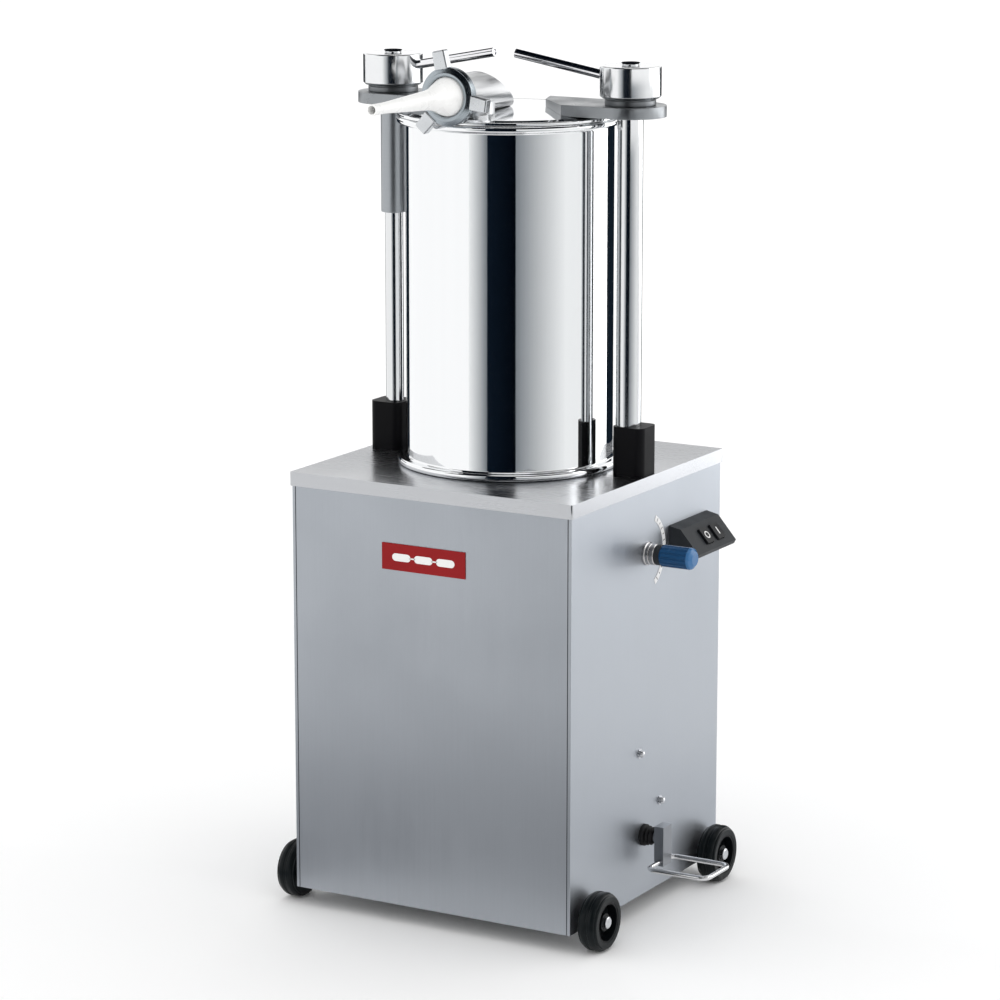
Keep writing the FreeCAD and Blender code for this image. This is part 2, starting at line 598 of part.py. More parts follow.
def make_base_tray():
    inner = "tray_half - tray_wall"
    skin = box("tray_skin", ("-tray_half", "tray_half"), ("-tray_half", "tray_half"),
               ("tray_low", "tray_low + tray_deep"))
    room = box("tray_room", (f"-({inner})", inner), (f"-({inner})", inner),
               ("tray_low + tray_floor", "tray_low + tray_deep"))
    holes = []
    for name, y in (("front", "-wheel_y"), ("rear", "wheel_y")):
        holes.append(cylinder(f"tray_axle_hole_{name}", "axle_rad + hole_run",
                              ("-tray_half", y, "wheel_rad"), "2 * tray_half", "+X"))
    keep(cut("base_tray", skin, room, *holes))


def make_rear_panel():
    sheet_metal = box("panel_sheet", ("-panel_half", "panel_half"),
                      ("cab_half", "cab_half + panel_thick"), ("panel_low", "panel_top"))
    slots = []
    for i in range(LOUVRES):
        z = f"louvre_low + {i} * louvre_pitch"
        slots.append(box(f"louvre_{i}", ("-louvre_half", "louvre_half"),
                         ("cab_half", "cab_half + panel_thick"), (z, f"{z} + louvre_high")))
    at = ("cord_x", "cab_half", "cord_z")
    gland_hole = cylinder("panel_gland_hole", "cord_shank + hole_run", at, "panel_thick", "+Y")
    keep(cut("rear_panel", sheet_metal, gland_hole, *slots))
    keep(turned("cable_gland",
                [("cord_rad", "-cord_in"), ("cord_shank", "-cord_in"),
                 ("cord_shank", "panel_thick"), ("cord_nut", "panel_thick"),
                 ("cord_nut", "cord_nut_end"), ("cord_shank", "cord_nut_end"),
                 ("cord_tip", "cord_out"), ("cord_rad", "cord_out")], at, "+Y"))


def make_panel_fasteners():
    span = "panel_top - panel_low - 2 * screw_end"
    gaps = PANEL_SCREWS // 2 - 1
    fasteners = []
    for i in range(PANEL_SCREWS):
        x = "screw_side - panel_half" if i % 2 else "panel_half - screw_side"
        z = f"panel_low + screw_end + ({span}) * {i // 2} / {gaps}"
        fasteners.append(turned(f"panel_screw_{i}",
                                [("0", "0"), ("screw_rad", "0"), ("screw_rad", "screw_rim"),
                                 ("screw_flat", "screw_high"), ("0", "screw_high")],
                                (x, "cab_half + panel_thick", z), "+Y"))
    for name in ("upper", "lower"):
        fasteners.append(turned(f"{name}_dome_nut",
                                [("0", "0"), ("dome_washer_rad", "0"),
                                 ("dome_washer_rad", "dome_washer_high"),
                                 ("dome_rad", "dome_washer_high"), ("dome_rad", "dome_side"),
                                 ("dome_shoulder_rad", "dome_shoulder"), ("0", "dome_high")],
                                ("cab_half", f"{name}_dome_y", f"{name}_dome_z"), "+X"))
    keep(group("panel_fasteners", *fasteners))


def make_face_trim():
    keep(box("front_plate", ("plate_left", "plate_right"),
             ("-cab_half - plate_thick", "-cab_half"), ("plate_low", "plate_top")))


# ---- wheels ----------------------------------------------------------------------------


def make_wheels():
    bolts = []
    for side, axis, sign in (("left", "-X", "-"), ("right", "+X", "")):
        for end, y in (("front", "-wheel_y"), ("rear", "wheel_y")):
            name = f"{end}_{side}"
            at = (f"{sign}wheel_in", y, "wheel_rad")
            edge = "wheel_wide"
            keep(turned(f"{name}_tyre",
                        [("tread_in", "tyre_inset"), ("tyre_side", "tyre_bulge"),
                         ("wheel_rad - step_drop", "step_in"), ("wheel_rad", "tread_edge"),
                         ("wheel_rad", f"{edge} - tread_edge"),
                         ("wheel_rad - step_drop", f"{edge} - step_in"),
                         ("tyre_side", f"{edge} - tyre_bulge"),
                         ("tread_in", f"{edge} - tyre_inset")], at, axis))
            bore = "axle_rad + axle_run"
            keep(turned(f"{name}_hub",
                        [(bore, "0"), ("boss_rad", "0"), ("boss_rad", "web_in"),
                         ("tread_in - dish_wall", "web_in"), ("tread_in - hub_wall", "hub_inset"),
                         ("tread_in", "hub_inset"), ("tread_in", f"{edge} - hub_inset"),
                         ("tread_in - hub_wall", f"{edge} - hub_inset"),
                         ("tread_in - dish_wall", "web_out"), ("boss_rad", "web_out"),
                         ("boss_rad", "boss_long"), (bore, "boss_long")], at, axis))
            # nut inside the tray, spacer against the cabinet, shank and head
            head = "boss_long + head_gap"
            bolts.append(turned(f"{name}_bolt",
                                [("0", "-axle_nut_in"), ("axle_nut_rad", "-axle_nut_in"),
                                 ("axle_nut_rad", "-axle_nut_out"), ("axle_rad", "-axle_nut_out"),
                                 ("axle_rad", "-spacer_long"), ("spacer_rad", "-spacer_long"),
                                 ("spacer_rad", "-spacer_gap"), ("axle_rad", "-spacer_gap"),
                                 ("axle_rad", head), ("head_rad", head),
                                 ("head_rad", "boss_long + head_side"),
                                 ("head_flat", "boss_long + head_high"),
                                 ("0", "boss_long + head_high")], at, axis))
    keep(group("wheel_bolts", *bolts))


# ---- columns ---------------------------------------------------------------------------


def make_columns():
    for side, x, radius in column_sides():
        keep(turned(f"{side}_column",
                    [("0", "col_low"), (radius, "col_low"), (radius, "shoulder_z"),
                     ("stud_rad", "shoulder_z"), ("stud_rad", "stud_top - stud_chamfer"),
                     ("stud_rad - stud_chamfer", "stud_top"), ("0", "stud_top")], (x, "0", "0")))
    half = "block_size / 2"
    for side, x, radius in column_sides():
        out = "block_out" if side == "right" else "-block_out"
        block = padded(f"{side}_block_body", "XY_Plane",
                       [(f"-{half}", f"-{half}"), (half, f"-{half}"),
                        (half, half), (f"-{half}", half)],
                       "block_high", (f"{x} + {out}", "block_back", "cover_top"))
        round_edges(block, "block_round", upright)
        hole = cylinder(f"{side}_block_hole", f"{radius} + hole_run", (x, "0", "cover_top"),
                        "block_high")
        keep(cut(f"{side}_column_block", block, hole))


# ---- meat cylinder, piston and ram -----------------------------------------------------


def make_meat_cylinder():
    bore = "can_rad - can_wall"
    low = "cover_top"
    high = "can_top"
    keep(turned("meat_cylinder",
                [(bore, low), ("rim_rad - rim_round", low), ("rim_rad", f"{low} + rim_round"),
                 ("rim_rad", f"{low} + rim_high - rim_round"),
                 ("rim_rad - rim_round", f"{low} + rim_high"),
                 ("can_rad + rim_fillet", f"{low} + rim_high"),
                 ("can_rad", f"{low} + rim_high + rim_fillet"),
                 ("can_rad", f"{high} - rim_high - rim_fillet"),
                 ("can_rad + rim_fillet", f"{high} - rim_high"),
                 ("rim_rad - rim_round", f"{high} - rim_high"),
                 ("rim_rad", f"{high} - rim_high + rim_round"),
                 ("rim_rad", f"{high} - rim_round"), ("rim_rad - rim_round", high),
                 (bore, high)]))


def make_piston():
    low = "piston_low"
    top = "piston_low + piston_high"
    groove = ("piston_low + groove_low", "piston_low + groove_low + groove_high")
    cover = f"{top} - spigot_cover"
    ram_top = "ram_piston_low + ram_piston_high"
    keep(turned("piston_disc",
                [("spigot_rad", low), ("piston_rad", low), ("piston_rad", groove[0]),
                 ("seal_in", groove[0]), ("seal_in", groove[1]), ("piston_rad", groove[1]),
                 ("piston_rad", top), ("0", top), ("0", cover), ("spigot_rad", cover)]))
    keep(turned("piston_seal",
                [("seal_in", groove[0]), ("piston_rad", groove[0]),
                 ("piston_rad", groove[1]), ("seal_in", groove[1])]))
    keep(turned("piston_rod",
                [("0", "ram_piston_low"), ("ram_piston_rad", "ram_piston_low"),
                 ("ram_piston_rad", ram_top), ("rod_main", ram_top), ("rod_main", low),
                 ("spigot_rad", low), ("spigot_rad", cover), ("0", cover)]))


def make_ram():
    keep(tube("ram_barrel", "ram_rad", "ram_bore", ("0", "0", "ram_low"), "bed_low - ram_low"))
    corners = [(f"{a}tie_at", f"{b}tie_at") for a in ("-", "") for b in ("-", "")]
    cap = box("cap_block", ("-cap_half", "cap_half"), ("-cap_half", "cap_half"),
              ("ram_low - cap_high", "ram_low"))
    cap_holes = [cylinder(f"cap_hole_{i}", "tie_rad", (x, y, "ram_low - cap_high"), "cap_high")
                 for i, (x, y) in enumerate(corners)]
    keep(cut("ram_end_cap", cap, *cap_holes))
    bore = "rod_main + rod_run"
    keep(turned("rod_gland",
                [(bore, "bed_low - gland_deep"), ("gland_rad", "bed_low - gland_deep"),
                 ("gland_rad", "cover_top"), ("gland_flange", "cover_top"),
                 ("gland_flange", "cover_top + gland_lip"),
                 ("gland_rad", "cover_top + gland_high"), (bore, "cover_top + gland_high")]))
    bed = box("bed_block", ("-bed_half_x", "bed_half_x"), ("-bed_half_y", "bed_half_y"),
              ("bed_low", "cover_top - sheet_thick"))
    through = "cover_top - bed_low"
    bed_holes = [cylinder("bed_gland_hole", "gland_rad", ("0", "0", "bed_low"), through)]
    for side, x, radius in column_sides():
        bed_holes.append(cylinder(f"bed_{side}_hole", radius, (x, "0", "bed_low"), through))
    for i, (x, y) in enumerate(corners):
        bed_holes.append(cylinder(f"bed_tie_hole_{i}", "tie_rad", (x, y, "bed_low"), through))
    keep(cut("bed_plate", bed, *bed_holes))
    cap_low = "ram_low - cap_high"
    tie_top = "bed_low + tie_over"
    fasteners = []
    for i, (x, y) in enumerate(corners):
        fasteners.append(turned(f"tie_rod_{i}",
                                [("0", f"{cap_low} - tie_nut_high"),
                                 ("tie_nut_rad", f"{cap_low} - tie_nut_high"),
                                 ("tie_nut_rad", cap_low), ("tie_rad", cap_low),
                                 ("tie_rad", tie_top), ("0", tie_top)], (x, y, "0")))
    for side, x, radius in column_sides():
        fasteners.append(tube(f"{side}_column_nut", f"{radius} + column_nut_wall", radius,
                              (x, "0", "bed_low - column_nut_high"), "column_nut_high"))
    keep(group("frame_bolts", *fasteners))


# ---- power pack ------------------------------------------------------------------------


def make_power_pack():
    floor = "tray_low + tray_floor"
    skin = box("tank_skin", ("tank_left", "tank_right"), ("-tank_half_y", "tank_half_y"),
               (floor, "tank_top"))
    room = box("tank_room", ("tank_left + tank_wall", "tank_right - tank_wall"),
               ("tank_wall - tank_half_y", "tank_half_y - tank_wall"),
               (f"{floor} + tank_wall", "tank_top - tank_wall"))
    keep(cut("oil_tank", skin, room))
    make_motor(floor)
    make_valves()


def make_motor(floor):
    at = ("motor_x", "motor_y", "0")
    bore = "shaft_rad + shaft_run"
    pump = box("pump_block", ("motor_x - pump_half", "motor_x + pump_half"),
               ("motor_y - pump_half", "motor_y + pump_half"), (floor, "pump_top"))
    bell = tube("pump_bell", "bell_out", "bell_in", ("motor_x", "motor_y", "pump_top"),
                "motor_low - pump_top")
    pump_bore = cylinder("pump_bore", bore, ("motor_x", "motor_y", "pump_bore_low"),
                         "pump_top - pump_bore_low")
    keep(cut("gear_pump", join("pump_body", pump, bell), pump_bore))
    shield = ("motor_top - shield_top_in", "motor_top - shield_top_out")
    keep(turned("motor_housing",
                [(bore, "motor_low"), ("motor_rad", "motor_low"), ("motor_rad", "motor_top"),
                 ("motor_rad - cowl_wall", "motor_top"), ("motor_rad - cowl_wall", shield[1]),
                 (bore, shield[1]), (bore, shield[0]), ("motor_rad - stator_wall", shield[0]),
                 ("motor_rad - stator_wall", "motor_low + shield_low"),
                 (bore, "motor_low + shield_low")], at))
    keep(turned("motor_rotor",
                [("0", "shaft_low"), ("shaft_rad", "shaft_low"), ("shaft_rad", "core_low"),
                 ("core_rad", "core_low"), ("core_rad", "core_top"), ("shaft_rad", "core_top"),
                 ("shaft_rad", "fan_neck"), ("core_rad", "fan_low"), ("core_rad", "fan_top"),
                 ("fan_lip", "fan_top"), ("fan_hub_out", "fan_dish"),
                 ("fan_hub_in", "fan_hub_top"), ("0", "fan_hub_top")], at))


def make_valves():
    wall = "cab_half - sheet_thick"
    speed_block = box("speed_valve_block", ("valve_in", wall),
                      ("dial_y - valve_half_y", "dial_y + valve_half_y"),
                      ("dial_z - valve_half_z", "dial_z + valve_half_z"))
    speed_bore = cylinder("speed_valve_bore", "stem_rad + stem_run",
                          ("valve_bore_in", "dial_y", "dial_z"), f"{wall} - valve_bore_in", "+X")
    keep(cut("speed_valve", speed_block, speed_bore))
    knee_low, knee_high = "knee_z - knee_block_half_z", "knee_z + knee_block_half_z"
    knee_back = "knee_y + knee_block_half_y"
    knee_block = box("knee_valve_block", ("knee_block_in", wall),
                     ("knee_y - knee_block_half_y", knee_back), (knee_low, knee_high))
    knee_bore = cylinder("knee_valve_bore", "knee_rad + knee_run",
                         ("knee_bore_in", "knee_y", "knee_z"), f"{wall} - knee_bore_in", "+X")
    keep(cut("knee_valve", knee_block, knee_bore))
    keep(group("oil_pipes",
               cylinder("pump_pipe", "pipe_rad", ("pump_pipe_x", knee_back, "pump_pipe_z"),
                        f"motor_y - pump_half - ({knee_back})", "+Y"),
               cylinder("ram_pipe", "pipe_rad", ("cap_half", "knee_y", "ram_low - ram_pipe_drop"),
                        "knee_block_in - cap_half", "+X"),
               cylinder("riser_pipe", "pipe_rad", ("riser_x", "knee_y", knee_high),
                        f"dial_z - valve_half_z - ({knee_high})"),
               cylinder("return_pipe", "pipe_rad", ("ram_rad", "dial_y", "dial_z"),
                        "valve_in - ram_rad", "+X")))


# ---- controls --------------------------------------------------------------------------


def make_speed_control():
    at = ("0", "dial_y", "dial_z")
    face = "cab_half"
    bore = "stem_rad + bush_gap"
    keep(turned("valve_bush",
                [(bore, face), ("bush_flange", face), ("bush_flange", f"{face} + bush_flange_high"),
                 ("bush_rad", f"{face} + bush_neck"), ("bush_rad", f"{face} + bush_ring_low"),
                 ("bush_ring_rad", f"{face} + bush_ring_mid"),
                 ("bush_rad", f"{face} + bush_ring_high"),
                 ("bush_rad", f"{face} + bush_high - bush_chamfer"),
                 ("bush_rad - bush_chamfer", f"{face} + bush_high"),
                 (bore, f"{face} + bush_high")], at, "+X"))
    stem_end = "dial_end - dial_solid"
    keep(cylinder("valve_stem", "stem_rad", ("stem_in", "dial_y", "dial_z"),
                  f"{stem_end} - stem_in", "+X"))
    fluted = ("dial_start + dial_shoulder", "dial_end - dial_crown")
    grip = turned("speed_grip",
                  [("stem_rad", "dial_start"), ("dial_neck", "dial_start"),
                   ("dial_neck", "dial_start + dial_neck_long"), ("dial_rad", fluted[0]),
                   ("dial_rad", fluted[1]), ("crown_mid_rad", "dial_end - crown_mid"),
                   ("crown_tip_rad", "dial_end - crown_tip"), ("0", "dial_end"),
                   ("0", stem_end), ("stem_rad", stem_end)], at, "+X")
    flutes = []
    for i in range(FLUTES):
        turn = 2 * math.pi * i / FLUTES
        y = f"dial_y + (dial_rad + flute_out) * {math.cos(turn):.5f}"
        z = f"dial_z + (dial_rad + flute_out) * {math.sin(turn):.5f}"
        flutes.append(cylinder(f"flute_{i}", "flute_rad", (fluted[0], y, z),
                               f"{fluted[1]} - ({fluted[0]})", "+X"))
    keep(cut("speed_knob", grip, *flutes))
    bands = []
    for name, radius in (("outer", "scale_mid + scale_half"), ("inner", "scale_mid - scale_half")):
        band = cylinder(f"scale_{name}", radius, ("cab_half", "dial_y", "dial_z"), "scale_thick")
        bind(band, Angle="scale_sweep")
        # the sector's middle points to the back of the machine
        start = FreeCAD.Rotation(UP, 90 - number("scale_sweep") / 2)
        place(band, ("cab_half", "dial_y", "dial_z"), TO["+X"].multiply(start))
        bands.append(band)
    keep(cut("curved_scale", *bands))


def panel_frame():
    """The switch panel's middle and its turn: own Z outward, own X down the slope."""
    slope = math.degrees(math.atan2(number("ledge_z - lip_z"), number("lip_x - ledge_x")))
    return FreeCAD.Rotation(ALONG_Y, slope)


def button_pad(label, y, grow, deep, proud):
    """A rounded block on the switch panel, from deep inside to standing proud of it."""
    u, v = f"button_half_u + {grow}", f"button_half_y + {grow}"
    turn = panel_frame()
    normal = turn.multVec(UP)
    at = (f"(ledge_x + lip_x) / 2 - ({deep}) * {normal.x:.6f}", y,
          f"(ledge_z + lip_z) / 2 - ({deep}) * {normal.z:.6f}")
    body = padded(label, "XY_Plane",
                  [(f"-({u})", f"-({v})"), (u, f"-({v})"), (u, v), (f"-({u})", v)],
                  f"{deep} + {proud}", at, turn)
    return round_edges(body, "button_round", upright)


def make_switch_box():
    wedge = padded("switch_wedge", "XZ_Plane",
                   [("cab_half", "box_top"), ("ledge_x", "ledge_z"), ("lip_x", "lip_z"),
                    ("lip_x - lip_back", "box_low"), ("cab_half", "box_low")],
                   "box_back - box_front", ("0", "box_back", "0"))
    pockets = [button_pad(f"{name}_pocket", y, "button_gap", "pocket_deep", "pocket_past")
               for name, y in (("start", "start_y"), ("stop", "stop_y"))]
    keep(cut("switch_box", wedge, *pockets))
    keep(button_pad("start_button", "start_y", "0", "button_deep", "button_proud"))
    keep(button_pad("stop_button", "stop_y", "0", "button_deep", "button_proud"))


def make_knee_lever():
    bore = "knee_rad + boot_gap"
    keep(turned("lever_boot",
                [(bore, "0"), ("boot_base", "0"), ("boot_base", "boot_base_high"),
                 ("boot_fold_one", "boot_fold_one_at"), ("boot_rib_one", "boot_rib_one_at"),
                 ("boot_fold_two", "boot_fold_two_at"), ("boot_rib_two", "boot_rib_two_at"),
                 ("boot_tip", "boot_tip_at"), (bore, "boot_long")],
                ("cab_half", "knee_y", "knee_z"), "+X"))
    shaft_end = "bar_out - knee_skin"
    keep(cylinder("lever_shaft", "knee_rad", ("knee_in", "knee_y", "knee_z"),
                  f"{shaft_end} - knee_in", "+X"))
    loop = make_knee_loop()
    bar = box("bar_block", ("bar_in", "bar_out"), ("knee_y - bar_half", "knee_y + bar_half"),
              ("bar_low", "bar_top"))
    bar_hole = cylinder("bar_hole", "knee_rad", ("bar_in", "knee_y", "knee_z"),
                        f"{shaft_end} - bar_in", "+X")
    keep(cut("lever_bar", bar, bar_hole, loop))


def make_knee_loop():
    """A closed rectangle of bent rod: four straight legs and four quarter bends."""
    bend = "loop_bend"
    pieces = [
        cylinder("loop_front_leg", "wire_rad", (f"loop_in + {bend}", "loop_front", "loop_z"),
                 f"loop_out - loop_in - 2 * {bend}", "+X"),
        cylinder("loop_back_leg", "wire_rad", (f"loop_in + {bend}", "loop_back", "loop_z"),
                 f"loop_out - loop_in - 2 * {bend}", "+X"),
        cylinder("loop_inner_leg", "wire_rad", ("loop_in", f"loop_front + {bend}", "loop_z"),
                 f"loop_back - loop_front - 2 * {bend}", "+Y"),
        cylinder("loop_outer_leg", "wire_rad", ("loop_out", f"loop_front + {bend}", "loop_z"),
                 f"loop_back - loop_front - 2 * {bend}", "+Y"),
    ]
    corners = ((f"loop_out - {bend}", f"loop_back - {bend}"),
               (f"loop_in + {bend}", f"loop_back - {bend}"),
               (f"loop_in + {bend}", f"loop_front + {bend}"),
               (f"loop_out - {bend}", f"loop_front + {bend}"))
    for i, (x, y) in enumerate(corners):
        corner = doc.addObject("Part::Torus", f"loop_bend_{i}")
        bind(corner, Radius1=bend, Radius2="wire_rad")
        corner.Angle3 = 90
        pieces.append(place(corner, (x, y, "loop_z"), FreeCAD.Rotation(UP, 90 * i)))
    return keep(join("lever_loop", *pieces))


# ---- lid, outlet and nozzle ------------------------------------------------------------


def make_lid():
    disc = turned("lid_plate", [("0", "lid_low"), ("lid_rad", "lid_low"),
                                ("lid_rad", "lid_edge - lid_chamfer"),
                                ("lid_rad - lid_chamfer", "lid_edge"),
                                ("0", "lid_edge")])
    # a shallow spherical crown over the flat edge
    ball = doc.addObject("Part::Sphere", "crown_ball")
    rise = "crown_top - lid_edge"
    ball_rad = f"((crown_rad * crown_rad) + ({rise}) * ({rise})) / (2 * ({rise}))"
    bind(ball, Radius=ball_rad)
    place(ball, ("0", "0", f"crown_top - {ball_rad}"))
    core = cylinder("crown_core", "crown_rad + crown_overlap", ("0", "0", "gasket_high + lid_low"),
                    "crown_top - lid_low")
    crown = overlap("lid_crown", ball, core)
    groove = tube("gasket_groove", "gasket_out", "gasket_in", ("0", "0", "lid_low"), "gasket_high")
    outlet_hole = cylinder("lid_outlet_hole", "outlet_bore", ("0", "outlet_hole_y", "lid_low"),
                           "arm_top - lid_low")
    lid = keep(cut("lid_disc", join("lid_solid", disc, crown), groove, outlet_hole))
    keep(tube("lid_gasket", "gasket_out", "gasket_in", ("0", "0", "lid_low"), "gasket_high"))
    make_arms(lid)
    keep(tube("hinge_sleeve", "sleeve_rad", "left_rad + sleeve_run",
              ("-col_x", "0", "sleeve_low"), "arm_low - sleeve_low"))
    make_outlet(lid)


def make_arms(lid):
    arms = []
    for side, sign in (("left", "-"), ("right", "")):
        corners = [(f"{sign}arm_back_x", "ear_rad"), (f"{sign}col_x", "ear_rad"),
                   (f"{sign}col_x", "-ear_rad"), (f"{sign}arm_front_x", "-ear_rad"),
                   (f"{sign}arm_tip_x", "arm_tip_y")]
        bar = padded(f"{side}_arm_bar", "XY_Plane", corners, "arm_top - arm_low",
                     ("0", "0", "arm_low"))
        ear = cylinder(f"{side}_ear", "ear_rad", (f"{sign}col_x", "0", "arm_low"),
                       "arm_top - arm_low")
        arms.append(join(f"{side}_arm_solid", bar, ear))
    high = "arm_top - arm_low"
    left_hole = cylinder("left_ear_hole", "stud_rad + ear_run", ("-col_x", "0", "arm_low"), high)
    slot_end = cylinder("slot_end", "slot_half", ("col_x", "0", "arm_low"), high)
    slot = padded("ear_slot", "XY_Plane",
                  [("-slot_half", "0"), ("slot_half", "0"), ("slot_half", "ear_rad + slot_past"),
                   ("-slot_half", "ear_rad + slot_past")], high, ("col_x", "0", "arm_low"),
                  FreeCAD.Rotation(UP, number("slot_turn")))
    keep(group("lid_arms", cut("left_arm", arms[0], left_hole, lid),
               cut("right_arm", arms[1], slot_end, slot, lid)))


def make_outlet(lid):
    front = "outlet_end"
    long = "outlet_back - outlet_end"
    pipe = cylinder("outlet_pipe", "outlet_rad", ("0", "outlet_back", "outlet_z"), long, "-Y")
    collar = cylinder("outlet_collar", "thread_rad", ("0", f"{front} + thread_long", "outlet_z"),
                      "thread_long", "-Y")
    stub = cylinder("outlet_stub", "stub_rad", ("0", "outlet_hole_y", "lid_edge"),
                    "outlet_z - lid_edge")
    body = join("outlet_solid", pipe, collar, stub)
    # the outlet's back slopes down to the lid
    toe, peak = "arm_low + bevel_toe", "outlet_z + bevel_peak"
    past = "outlet_back + bevel_past"
    bevel = padded("outlet_bevel", "YZ_Plane",
                   [("outlet_back", toe), (past, toe), (past, peak),
                    (f"outlet_back - ({peak} - ({toe})) * bevel_run", peak)],
                   "4 * outlet_rad", ("-2 * outlet_rad", "0", "0"))
    bore = cylinder("outlet_bore_front", "outlet_bore", ("0", "outlet_hole_y", "outlet_z"),
                    "outlet_hole_y - outlet_end", "-Y")
    down = cylinder("outlet_bore_down", "outlet_bore", ("0", "outlet_hole_y", "lid_edge"),
                    "outlet_z - lid_edge")
    elbow = doc.addObject("Part::Sphere", "outlet_bore_turn")
    bind(elbow, Radius="outlet_bore")
    place(elbow, ("0", "outlet_hole_y", "outlet_z"))
    keep(cut("outlet_elbow", body, bevel, bore, down, elbow, lid))


def make_nozzle():
    at = ("0", "0", "outlet_z")
    base, front = "nozzle_gap - outlet_end", "-nut_front"
    taper = ("-nozzle_tip_y - nozzle_tip_long", "-nozzle_tip_y")
    tip_bore = "nozzle_tip_rad - nozzle_wall"
    keep(turned("filling_nozzle",
                [("nozzle_bore", base), ("nozzle_flange", base),
                 ("nozzle_flange", "-nut_lip - nozzle_gap"), ("neck_rad", "-nut_lip - nozzle_gap"),
                 ("neck_rad", f"{front} - neck_long"), ("mouth_rad", front),
                 ("cone_rad", f"{front} + cone_long"), ("waist_rad", f"{front} + waist_long"),
                 ("nozzle_tip_rad", taper[0]), ("nozzle_tip_rad", taper[1]),
                 (tip_bore, taper[1]), (tip_bore, taper[0]),
                 ("waist_bore", f"{front} + waist_long"), ("nozzle_bore", front)], at, "-Y"))
    thread = "thread_rad + nut_run"
    ring = turned("nut_ring",
                  [(thread, "-nut_back"), ("nut_rad - nut_chamfer", "-nut_back"),
                   ("nut_rad", "-nut_back + nut_chamfer"), ("nut_rad", f"{front} - nut_chamfer"),
                   ("nut_rad - nut_chamfer", front), ("nut_hole + nut_chamfer", front),
                   ("nut_hole", f"{front} - nut_chamfer"), ("nut_hole", "-nut_lip"),
                   (thread, "-nut_lip")], at, "-Y")
    lugs = []
    for i, heading in enumerate(LUG_HEADINGS):
        lug = doc.addObject("Part::Box", f"nut_lug_{i}")
        bind(lug, Length="lug_reach - nut_rad + lug_root", Width="lug_back - lug_front",
             Height="2 * lug_half")
        # own X runs outward from the ring's axis
        turn = FreeCAD.Rotation(ALONG_Y, -heading)
        root = FreeCAD.Vector(number("nut_rad - lug_root"), 0, -number("lug_half"))
        corner = turn.multVec(root)
        place(lug, (f"{corner.x:.6f}", "lug_front", f"outlet_z + ({corner.z:.6f})"), turn)
        lugs.append(lug)
    keep(join("ring_nut", ring, *lugs))


# ---- clamping knobs --------------------------------------------------------------------


def make_knobs():
    bore = "stud_rad + knob_run"
    for side, x in (("left", "-col_x"), ("right", "col_x")):
        at = (x, "0", "0")
        keep(turned(f"{side}_thrust_washer",
                    [(bore, "washer_low"), ("washer_rad", "washer_low"),
                     ("washer_rad", "washer_top"), (bore, "washer_top")], at))
        knob = turned(f"{side}_knob_body",
                      [(bore, "knob_low"), ("knob_rad - knob_foot", "knob_low"),
                       ("knob_rad", "knob_low + knob_foot_high"),
                       ("knob_rad", "knob_top - knob_chamfer"),
                       ("knob_rad - knob_chamfer", "knob_top"), (bore, "knob_top")], at)
        rise = number("rod_rise")
        toward = number(f"{side}_heading")
        # own Z runs outward and up along the rod
        turn = FreeCAD.Rotation(UP, toward).multiply(FreeCAD.Rotation(ALONG_Y, 90 - rise))
        out_x = f"rod_in * {math.cos(math.radians(toward)):.6f}"
        out_y = f"rod_in * {math.sin(math.radians(toward)):.6f}"
        start_z = f"rod_z - (knob_rad - rod_in) * {math.tan(math.radians(rise)):.6f}"
        length = f"(rod_reach - rod_in) / {math.cos(math.radians(rise)):.6f}"
        rod = place(doc.addObject("Part::Cylinder", f"{side}_lever_rod"),
                    (f"{x} + {out_x}", out_y, start_z), turn)
        bind(rod, Radius="rod_rad", Height=length)
        keep(rod)
        keep(cut(f"{side}_knob", knob, rod))


# ---- build, check and write ------------------------------------------------------------


def check_and_write():
    doc.recompute()
    faults = [o.Name for o in doc.Objects if {"Invalid", "Error"} & set(o.State)]
    for piece in nodes:
        if piece.Shape.isNull() or not piece.Shape.isValid() or piece.Shape.Volume < 1:
            faults.append(piece.Label)
    if faults:
        raise RuntimeError(f"failed objects: {faults}")
    os.makedirs("parts", exist_ok=True)
    for piece in nodes:
        piece.Shape.exportStep(f"parts/{piece.Label}.step")
    print(f"{len(nodes)} nodes written")


make_cabinet()
make_cover()
make_base_tray()
make_rear_panel()
make_panel_fasteners()
make_face_trim()
make_wheels()
make_columns()
make_meat_cylinder()
make_piston()
make_ram()
make_power_pack()
make_speed_control()
make_switch_box()
make_knee_lever()
make_lid()
make_nozzle()
make_knobs()
check_and_write()
